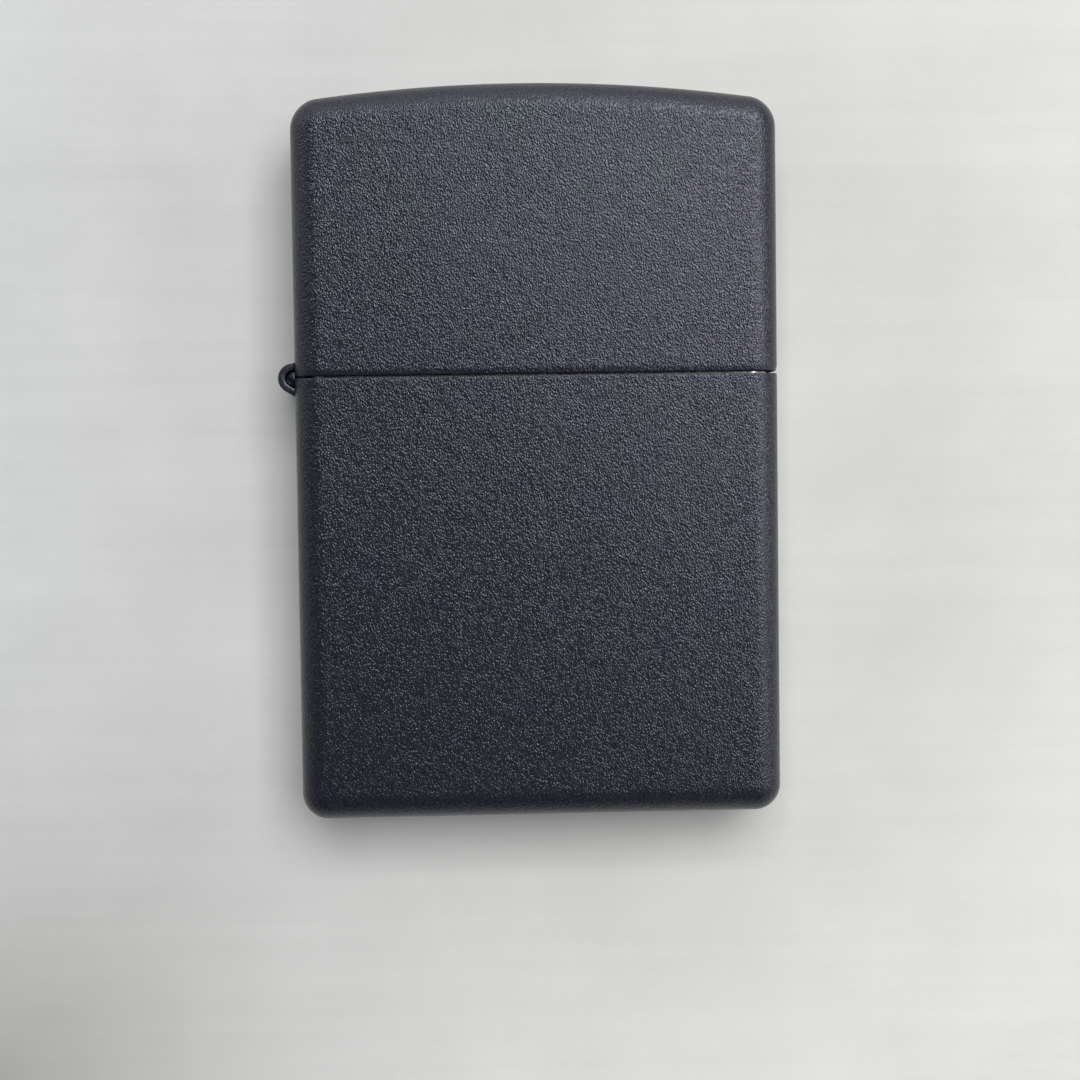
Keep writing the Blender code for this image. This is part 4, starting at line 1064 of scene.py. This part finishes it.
def swept_object(name, path, radius, k, mats, angle=60.0, shape=None):
    v, f = swept(name, path, radius, k, mats, angle, shape)
    bm = bmesh.new()
    bv = [bm.verts.new(p) for p in v]
    for face in f:
        bm.faces.new([bv[i] for i in face])
    return from_bm(name, bm, mats, angle)


turns, steps = 18, 28
z0, z1 = 9.2, 33.75
coil = []
for i in range(turns * steps + 1):
    s = i / (turns * steps)
    t = 2 * math.pi * i / steps
    ease = s + 0.055 * math.sin(2 * math.pi * s) * -1  # the end coils sit closer
    coil.append((WHEEL_X + 0.98 * math.cos(t), 0.98 * math.sin(t), z0 + (z1 - z0) * ease))
spring = swept_object("coil_spring", coil, lambda s: 0.17 * min(1.0, 0.5 + 40 * min(s, 1 - s)), 12, [SPRING])
piece(spring, "spring", "spring_steel", "flint_spring")
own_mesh(spring)


def build_screw():
    k, pitch, per = 56, 0.6, 12
    t = np.linspace(0, 2 * math.pi, k, endpoint=False)

    def row(r, z):
        return np.column_stack([WHEEL_X + r * np.cos(t), r * np.sin(t), np.full(k, z)])

    head = rounded([(2.2, 1.75), (2.65, 1.75), (2.65, 2.98), (1.26, 2.98), (1.24, 3.15)], 0.22, 5)
    rows = [row(0.6, 1.75), row(1.6, 1.75)] + [row(r, z) for r, z in head]
    z0, z1 = 3.2, 8.4
    count = int(round((z1 - z0) / pitch * per))
    for q in range(count + 1):
        z = z0 + (z1 - z0) * q / count
        fade = max(0.0, min(1.0, (z - z0) / (0.6 * pitch), (z1 - z) / (0.6 * pitch)))
        phase = (z / pitch - t / (2 * math.pi)) % 1.0
        tooth = np.clip(1.25 * (1 - np.abs(2 * phase - 1)), 0, 1)
        r = 1.14 + 0.28 * fade * tooth
        rows.append(np.column_stack([WHEEL_X + r * np.cos(t), r * np.sin(t), np.full(k, z)]))
    rows += [row(r, z) for r, z in rounded([(1.14, 8.5), (1.05, 8.9), (0.55, 8.95), (0.5, 10.3), (0.1, 10.3)], 0.06)]
    v = np.vstack(rows)
    i = np.arange(k)
    j = (i + 1) % k
    f = [tuple(x) for a in range(len(rows) - 1) for x in np.column_stack([a * k + i, a * k + j, (a + 1) * k + j, (a + 1) * k + i]).tolist()]
    f.append(tuple(range(k)))
    f.append(tuple(range((len(rows) - 1) * k, len(rows) * k)))
    bm = bmesh.new()
    bv = [bm.verts.new(p) for p in v]
    for face in f:
        bm.faces.new([bv[q] for q in face])
    obj = from_bm("slotted_screw", bm, [BRASS], 40)
    cut(obj, helper("driver_slot", prism_y([(WHEEL_X - 3.2, 1.5), (WHEEL_X + 3.2, 1.5), (WHEEL_X + 3.2, 2.3), (WHEEL_X - 3.2, 2.3)], -0.4, 0.4)))
    return obj


piece(build_screw(), "screw", "brass", "flint_screw")


# ---------------------------------------------------------------- wick, packing and felt
WICK_R, WICK_TOP = 1.6, 47.9


def braid(s, t):
    """Strands crossing both ways round the cord."""
    a = np.abs(np.sin(2.5 * t + 2.4 * s))
    b = np.abs(np.sin(2.5 * t - 2.4 * s))
    over = np.maximum(a, b)
    return 0.86 + 0.14 * over ** 0.6


key = [(WICK_X, 0, WICK_TOP - q * 2.9) for q in range(6)]
key += [(WICK_X, 0, 32.9), (0.5, 0, 29.3), (-4.2, 0, 25.6), (-9.2, 0, 22.0), (-4.2, 0, 18.4), (0.8, 0, 15.0), (-4.2, 0, 11.4), (-9.2, 0, 8.2), (-6.4, 0, 6.2)]
path = spline(key, 14)
v0, f0 = swept("cord", path, lambda s: WICK_R * (1.0 if 0.006 < s < 0.994 else 0.86), 40, [WICK], 60.0, braid)
verts, faces = [np.asarray(v0)], list(f0)
count = len(v0)
rng = np.random.default_rng(736)
for q in range(110):  # loose fibre ends at the wick's tip
    a = rng.uniform(0, 2 * math.pi)
    r = 1.35 * math.sqrt(rng.uniform(0, 1))
    base = np.array([WICK_X + r * math.cos(a), r * math.sin(a), WICK_TOP - 0.35])
    lean = np.array([math.cos(a), math.sin(a), 0]) * rng.uniform(0.0, 0.35) + rng.normal(0, 0.10, 3)
    tall = rng.uniform(0.45, 1.05)
    pts = [base + np.array([0, 0, 1]) * tall * s + lean * s * s for s in np.linspace(0, 1, 6)]
    pts = [p if p[2] < WICK_TOP + 0.9 else np.array([p[0], p[1], WICK_TOP + 0.9]) for p in pts]
    fv, ff = swept("fibre", pts, lambda s: 0.045 * (1 - 0.75 * s), 5, [WICK])
    verts.append(fv)
    faces += [tuple(i + count for i in face) for face in ff]
    count += len(fv)
obj = make_object("cotton_wick", np.vstack(verts), faces, [WICK], None, 70.0)
piece(obj, "insert", "wick_cotton", "wick")

turns, steps = 7, 40
coil = []
for i in range(turns * steps + 1):
    t = 2 * math.pi * i / steps
    coil.append((WICK_X + 1.78 * math.cos(t), 1.78 * math.sin(t), 36.2 + (WICK_TOP - 0.4 - 36.2) * i / (turns * steps)))
piece(swept_object("wick_winding", coil, lambda s: 0.09 * min(1.0, 0.4 + 60 * min(s, 1 - s)), 10, [COPPER]), "insert", "copper_wire", "wick_wire")


def build_packing(name, node, seed):
    lo, hi = mm_box(node)
    centre, radii = (lo + hi) / 2, (hi - lo) / 2
    bm = bmesh.new()
    bmesh.ops.create_icosphere(bm, subdivisions=6, radius=1.0)
    d = np.array([v.co[:] for v in bm.verts])
    d /= np.linalg.norm(d, axis=1)[:, None]
    full = (np.abs(d) ** 3.0).sum(1) ** (-1 / 3.0)
    full = 1 + (full - 1) * 0.55
    p = d * radii
    fold = value_noise(p / 1.9 + 40 + seed * 7, seed) - 0.5
    curl = value_noise(p / 0.62 + 80 + fold[:, None] * 2.2, seed + 5) - 0.5
    fluff = value_noise(p / 0.27 + 120 + curl[:, None], seed + 9) - 0.5
    s = 0.965 * np.minimum(full, 1.02) + 0.060 * fold + 0.035 * curl + 0.018 * fluff
    body = np.clip(centre + p * s[:, None] * 0.985, lo, hi)
    for vert, q in zip(bm.verts, body):
        vert.co = q
    verts = [np.array([v.co[:] for v in bm.verts])]
    faces = [tuple(v.index for v in face.verts) for face in bm.faces]
    bm.free()
    count = len(verts[0])
    r = np.random.default_rng(seed)
    for q in range(150):  # loose fibres lying on the lump
        u = r.normal(0, 1, 3)
        u /= np.linalg.norm(u)
        w = np.cross(u, r.normal(0, 1, 3))
        w /= np.linalg.norm(w)
        k = r.uniform(0.25, 0.7)
        pts = []
        for s in np.linspace(0, 1, 9):
            e = u + w * k * (s - 0.5) + np.cross(u, w) * 0.18 * math.sin(s * 5 + q)
            e /= np.linalg.norm(e)
            grow = (np.abs(e) ** 3.0).sum() ** (-1 / 3.0)
            grow = min(1 + (grow - 1) * 0.55, 1.02)
            pts.append(np.clip(centre + e * radii * grow * (0.955 + 0.03 * math.sin(s * math.pi)), lo, hi))
        fv, ff = swept("fibre", pts, lambda s: 0.04 * (1 - 0.5 * abs(2 * s - 1)), 4, [COTTON])
        verts.append(fv)
        faces += [tuple(i + count for i in face) for face in ff]
        count += len(fv)
    return make_object(name, np.vstack(verts), faces, [COTTON], None, 75.0)


for i in range(5):
    piece(build_packing(f"cotton_{i + 1}", f"packing_ball_{i + 1}", 21 + 4 * i), "insert", "cotton_packing", f"packing_ball_{i + 1}")

pad_lo, pad_hi = mm_box("felt_pad")
loft = Loft(9, 56, 18)
rows = []
for i in range(6):
    t = math.radians(90.0 * i / 5)
    rows.append((0.24 * (1 - math.sin(t)), pad_lo[2] + 0.24 * (1 - math.cos(t))))
rows += [(0.0, z) for z in np.linspace(pad_lo[2] + 0.45, pad_hi[2] - 0.35, 6)]
for i in range(5):
    t = math.radians(90.0 * i / 4)
    rows.append((0.2 * (1 - math.cos(t)), pad_hi[2] - 0.2 + 0.2 * math.sin(t)))
a, b = (pad_hi[0] - pad_lo[0]) / 2, pad_hi[1]
starts = [loft.ring(a - i, b - i, 1.0, z, True, (pad_hi[0] + pad_lo[0]) / 2) for i, z in rows]
for s0, s1 in zip(starts, starts[1:]):
    loft.join(s0, s1, 0)
loft.cap(starts[0], None, 0, outer=True, flip=True)
loft.cap(starts[-1], None, 0, outer=True)
v, f, mats, outer = loft.arrays()
normals, f = outward(v, f)
d = 0.6 * value_noise(v / 0.5 + 9, 61) + 0.4 * value_noise(v / 0.22 + 15, 62)
v = v - normals * (0.09 * d)[:, None]
obj = make_object("felt", v, f, [FELT], mats, 70.0)
cut(obj, helper("eye", cylinder_z(WHEEL_X, 3.0, 1.0, 5.0, 56)))
obj.data.set_sharp_from_angle(angle=math.radians(60))
piece(obj, "insert", "felt", "felt_pad")


# ---------------------------------------------------------------- camera
def rotation(axis, degrees):
    return Matrix.Rotation(math.radians(degrees), 3, axis)


CAM_AT = Vector((-6.265, -154.4, 28.841)) * MM
turn = rotation("Z", -2.415) @ rotation("X", -2.763) @ rotation("Y", 0.781)
right, ahead, up = turn.col[0], turn.col[1], turn.col[2]
cam_data = bpy.data.cameras.new("camera")
cam_data.sensor_fit = "HORIZONTAL"
cam_data.sensor_width = 36.0
cam_data.lens = 64.01
cam_data.clip_start, cam_data.clip_end = 0.005, 50.0
cam = bpy.data.objects.new("camera", cam_data)
bpy.context.scene.collection.objects.link(cam)
m = Matrix.Identity(4)
for c, axis in enumerate((right, up, -ahead)):
    for r in range(3):
        m[r][c] = axis[r]
m.translation = CAM_AT
cam.matrix_world = m
bpy.context.scene.camera = cam


# ---------------------------------------------------------------- table, floor and light
def drive(owner, path, index, main, other):
    """One value from the main camera's place, and another from anywhere else."""
    curve = owner.driver_add(path, index) if index is not None else owner.driver_add(path)
    d = curve.driver
    d.type = "SCRIPTED"
    for name, kind in (("cx", "LOC_X"), ("cy", "LOC_Y"), ("cz", "LOC_Z")):
        var = d.variables.new()
        var.name = name
        var.type = "TRANSFORMS"
        var.targets[0].id = cam
        var.targets[0].transform_type = kind
        var.targets[0].transform_space = "WORLD_SPACE"
    near = f"(abs(cx - ({CAM_AT.x:.6f})) + abs(cy - ({CAM_AT.y:.6f})) + abs(cz - ({CAM_AT.z:.6f}))) < 0.0005"
    d.expression = f"{main} if {near} else {other}"


def surface(name, dark, light, fade=None, corner=None, paper_and_painted_light=False):
    n = Nodes(name)
    co = n.coords()
    speckle = n.noise(co, 1.3, 3.0, 0.6)
    slow = n.noise(co, 0.012, 2.0, 0.5)
    base = n.mix(n.map(n.math("ADD", n.math("MULTIPLY", speckle, 0.35), n.math("MULTIPLY", slow, 0.65)), 0.35, 0.65, 0.0, 1.0), rgb(*dark), rgb(*light))
    if corner is not None:  # the table falls into shade at one corner
        away = n.add("ShaderNodeVectorMath", {0: n.add("ShaderNodeNewGeometry").outputs["Position"], 1: tuple(corner)}, operation="DISTANCE").outputs["Value"]
        near = n.math("POWER", n.map(away, 0.0, 0.046, 1.0, 0.0), 1.5)
        base = n.mix(near, base, rgb(*[c * 0.56 for c in (1.03 * dark[0], dark[1], 0.97 * dark[2])]))
    if paper_and_painted_light:  # laminated sheet: soft cross-wise drag marks and cloudy patches, with painted light and shade: paler towards the lower right, darker round the lighter, cooler on the left and warmer on the right
        where = n.add("ShaderNodeSeparateXYZ", {0: co})
        drag = n.noise(n.add("ShaderNodeMapping", {"Vector": co, "Rotation": (0, math.radians(2.0), 0), "Scale": (0.022, 1.0, 0.55)}).outputs[0], 1.0, 3.0, 0.55)
        cloud = n.noise(co, 0.075, 4.0, 0.55)
        texture_and_painted_light = n.math("ADD", n.map(drag, 0.3, 0.7, -0.020, 0.020), n.map(cloud, 0.3, 0.7, -0.034, 0.034))
        painted_light_slant = n.math("SUBTRACT", n.math("MULTIPLY", where.outputs["X"], 0.6), n.math("MULTIPLY", where.outputs["Z"], 0.8))
        from_lighter_middle = n.add("ShaderNodeVectorMath", {0: co, 1: (0.0, 0.0, -2.0)}, operation="DISTANCE").outputs["Value"]
        # painted shade: the table is darker within 34 mm of the lighter's middle, fading out by 60 mm
        texture_and_painted_light = n.math("ADD", texture_and_painted_light, n.map(from_lighter_middle, 34.0, 60.0, -0.115, 0.0))
        # painted light: the table grows paler towards the lower right
        texture_and_painted_light = n.math("ADD", texture_and_painted_light, n.map(painted_light_slant, -90.0, 60.0, 0.80, 1.03, clamp=False))
        # painted light colour: the table is tinted cooler on the left and warmer on the right
        painted_light_tint = n.mix(n.map(where.outputs["X"], -45.0, 40.0, 0.0, 1.0), rgb(0.990, 1.002, 1.008), rgb(1.002, 1.000, 0.962))
        base = n.add("ShaderNodeVectorMath", {0: base, 1: painted_light_tint}, operation="MULTIPLY").outputs[0]
        base = n.add("ShaderNodeVectorMath", {0: base, "Scale": texture_and_painted_light}, operation="SCALE").outputs[0]
    n.use(Base_Color=base, Roughness=0.62, Normal=n.bump(speckle, 0.01, 0.3), Specular_IOR_Level=0.25)
    if fade:
        tc = n.add("ShaderNodeNewGeometry")
        flat = n.add("ShaderNodeVectorMath", {0: tc.outputs["Position"], 1: (1.0, 1.0, 0.0)}, operation="MULTIPLY")
        length = n.add("ShaderNodeVectorMath", {0: flat.outputs[0]}, operation="LENGTH").outputs["Value"]
        clear = n.add("ShaderNodeBsdfTransparent")
        both = n.add("ShaderNodeMixShader", {0: n.map(length, fade[0], fade[1], 0.0, 1.0), 1: n.bsdf.outputs[0], 2: clear.outputs[0]})
        n.tree.links.new(both.outputs[0], n.out.inputs["Surface"])
    return n.mat


def plane(name, size, mat, corners):
    mesh = bpy.data.meshes.new(name)
    mesh.from_pydata([tuple(c * size for c in p) for p in corners], [], [(0, 1, 2, 3)])
    mesh.materials.append(mat)
    obj = bpy.data.objects.new(name, mesh)
    bpy.context.scene.collection.objects.link(obj)
    obj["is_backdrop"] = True
    return obj


TABLE_Y = (HALF_T + 0.05) * MM
ray = ahead - right * (540 / 1920.44) - up * (540 / 1920.44)
shady = CAM_AT + ray * ((TABLE_Y - CAM_AT.y) / ray.y)
table = plane("table_top", 0.7, surface("pale_table", (0.79, 0.787, 0.78), (0.82, 0.817, 0.81), corner=shady, paper_and_painted_light=True), [(-1, 0, -1), (1, 0, -1), (1, 0, 1), (-1, 0, 1)])
table.location = (0, TABLE_Y, 0.03)
floor = plane("floor", 1.6, surface("pale_floor", (0.66, 0.657, 0.652), (0.70, 0.697, 0.692), (0.12, 0.75)), [(-1, -1, 0), (1, -1, 0), (1, 1, 0), (-1, 1, 0)])
floor.location = (0, 0, -0.02 * MM)
for i in range(3):
    drive(table, "scale", i, 1.0, 0.00001)
    drive(floor, "scale", i, 0.00001, 1.0)


def area(name, at, towards, size, watts, colour, main, other):
    data = bpy.data.lights.new(name, "AREA")
    data.shape = "RECTANGLE"
    data.size, data.size_y = size[0] * MM, size[1] * MM
    data.color = colour
    data.energy = watts
    obj = bpy.data.objects.new(name, data)
    bpy.context.scene.collection.objects.link(obj)
    at, towards = Vector(at) * MM, Vector(towards) * MM
    obj.location = at
    obj.rotation_mode = "QUATERNION"
    obj.rotation_quaternion = (towards - at).to_track_quat("-Z", "Y")
    obj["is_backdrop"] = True
    drive(data, "energy", None, main * watts, other * watts)
    return obj


def light_only(lamp, name, state, *objs):
    """The lamp lights only these objects, or everything but them."""
    group = bpy.data.collections.new(name)
    for o in objs:
        group.objects.link(o)
    for member in group.collection_objects:
        member.light_linking.link_state = state
    lamp.light_linking.receiver_collection = group


MID = (0, 0, 28)
key = area("key", (110, -300, 175), MID, (180, 180), 0.95, (0.95, 0.98, 1.06), 1.0, 0.0)
light_only(key, "all_but_table", "EXCLUDE", table)
top = area("table_light", (24, -340, 110), MID, (200, 200), 1.20, (1.0, 1.0, 0.99), 1.0, 0.0)
light_only(top, "table_only", "INCLUDE", table)
high = area("high", (20, -170, 330), MID, (300, 260), 0.27, (0.97, 0.98, 1.02), 1.0, 0.0)
left_high = area("left_high", (-210, -120, 170), (-15, 0, 48), (150, 150), 0.13, (0.95, 0.98, 1.04), 1.0, 0.0)
side = area("side", (78, -82, 24), (15, -6, 22), (30, 90), 0.041, (0.98, 0.99, 1.02), 1.0, 0.0)
for lamp in (high, left_high, side):
    light_only(lamp, lamp.name + "_all_but_table", "EXCLUDE", table)
# for every other camera: three large, far lamps over a floor
area("studio_key", (520, -760, 860), MID, (420, 420), 7.8, (1.0, 0.99, 0.97), 0.0, 1.0)
area("studio_back", (-620, 700, 620), MID, (500, 500), 5.6, (0.97, 0.985, 1.0), 0.0, 1.0)
area("studio_left", (-900, -420, 330), MID, (420, 420), 2.4, (0.97, 0.985, 1.0), 0.0, 1.0)
area("studio_right", (900, 260, 240), MID, (300, 500), 1.8, (1.0, 0.99, 0.98), 0.0, 1.0)

# the room: pale all round, and dark where somebody stands over the table
world = bpy.data.worlds.new("studio")
bpy.context.scene.world = world
world.use_nodes = True
tree = world.node_tree
background = tree.nodes["Background"]
background.inputs["Strength"].default_value = 1.0


def world_node(kind, inputs=None, **props):
    node = tree.nodes.new(kind)
    for k, v in props.items():
        setattr(node, k, v)
    for k, v in (inputs or {}).items():
        if isinstance(v, bpy.types.NodeSocket):
            tree.links.new(v, node.inputs[k])
        else:
            node.inputs[k].default_value = v
    return node


seen = world_node("ShaderNodeTexCoord").outputs["Generated"]
person = Vector((-0.20, -1.0, -0.34)).normalized()
dot = world_node("ShaderNodeVectorMath", {0: seen, 1: tuple(person)}, operation="DOT_PRODUCT").outputs["Value"]
shade = world_node("ShaderNodeMapRange", {"Value": dot, "From Min": 0.26, "From Max": 0.78, "To Min": 0.0, "To Max": 1.0}, interpolation_type="SMOOTHSTEP").outputs[0]
window = Vector((0.45, -0.45, 0.77)).normalized()
glow = world_node("ShaderNodeVectorMath", {0: seen, 1: tuple(window)}, operation="DOT_PRODUCT").outputs["Value"]
glow = world_node("ShaderNodeMapRange", {"Value": glow, "From Min": -0.6, "From Max": 1.0, "To Min": 0.0, "To Max": 1.0}).outputs[0]
room = world_node("ShaderNodeMix", {0: glow, 6: (0.34, 0.37, 0.42, 1.0), 7: (0.50, 0.51, 0.52, 1.0)}, data_type="RGBA").outputs[2]
room = world_node("ShaderNodeMix", {0: shade, 6: room, 7: (0.03, 0.033, 0.039, 1.0)}, data_type="RGBA").outputs[2]
even = world_node("ShaderNodeValue")
drive(even.outputs[0], "default_value", None, 0.0, 1.0)
room = world_node("ShaderNodeMix", {0: even.outputs[0], 6: room, 7: (0.31, 0.32, 0.335, 1.0)}, data_type="RGBA").outputs[2]
direct = world_node("ShaderNodeLightPath").outputs["Is Camera Ray"]
room = world_node("ShaderNodeMix", {0: direct, 6: room, 7: (0.60, 0.60, 0.605, 1.0)}, data_type="RGBA").outputs[2]
tree.links.new(room, background.inputs["Color"])

settings = bpy.context.scene.view_settings
settings.view_transform = "Standard"
settings.look = "None"
settings.exposure = 0.0
settings.gamma = 1.0

# ---------------------------------------------------------------- sizes
lo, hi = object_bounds()
for a, b, c, d in zip(lo, hi, CAD_LO, CAD_HI):
    print(f"size: visual {a * 1000:.3f}..{b * 1000:.3f} mm, frame {c * 1000:.3f}..{d * 1000:.3f} mm")
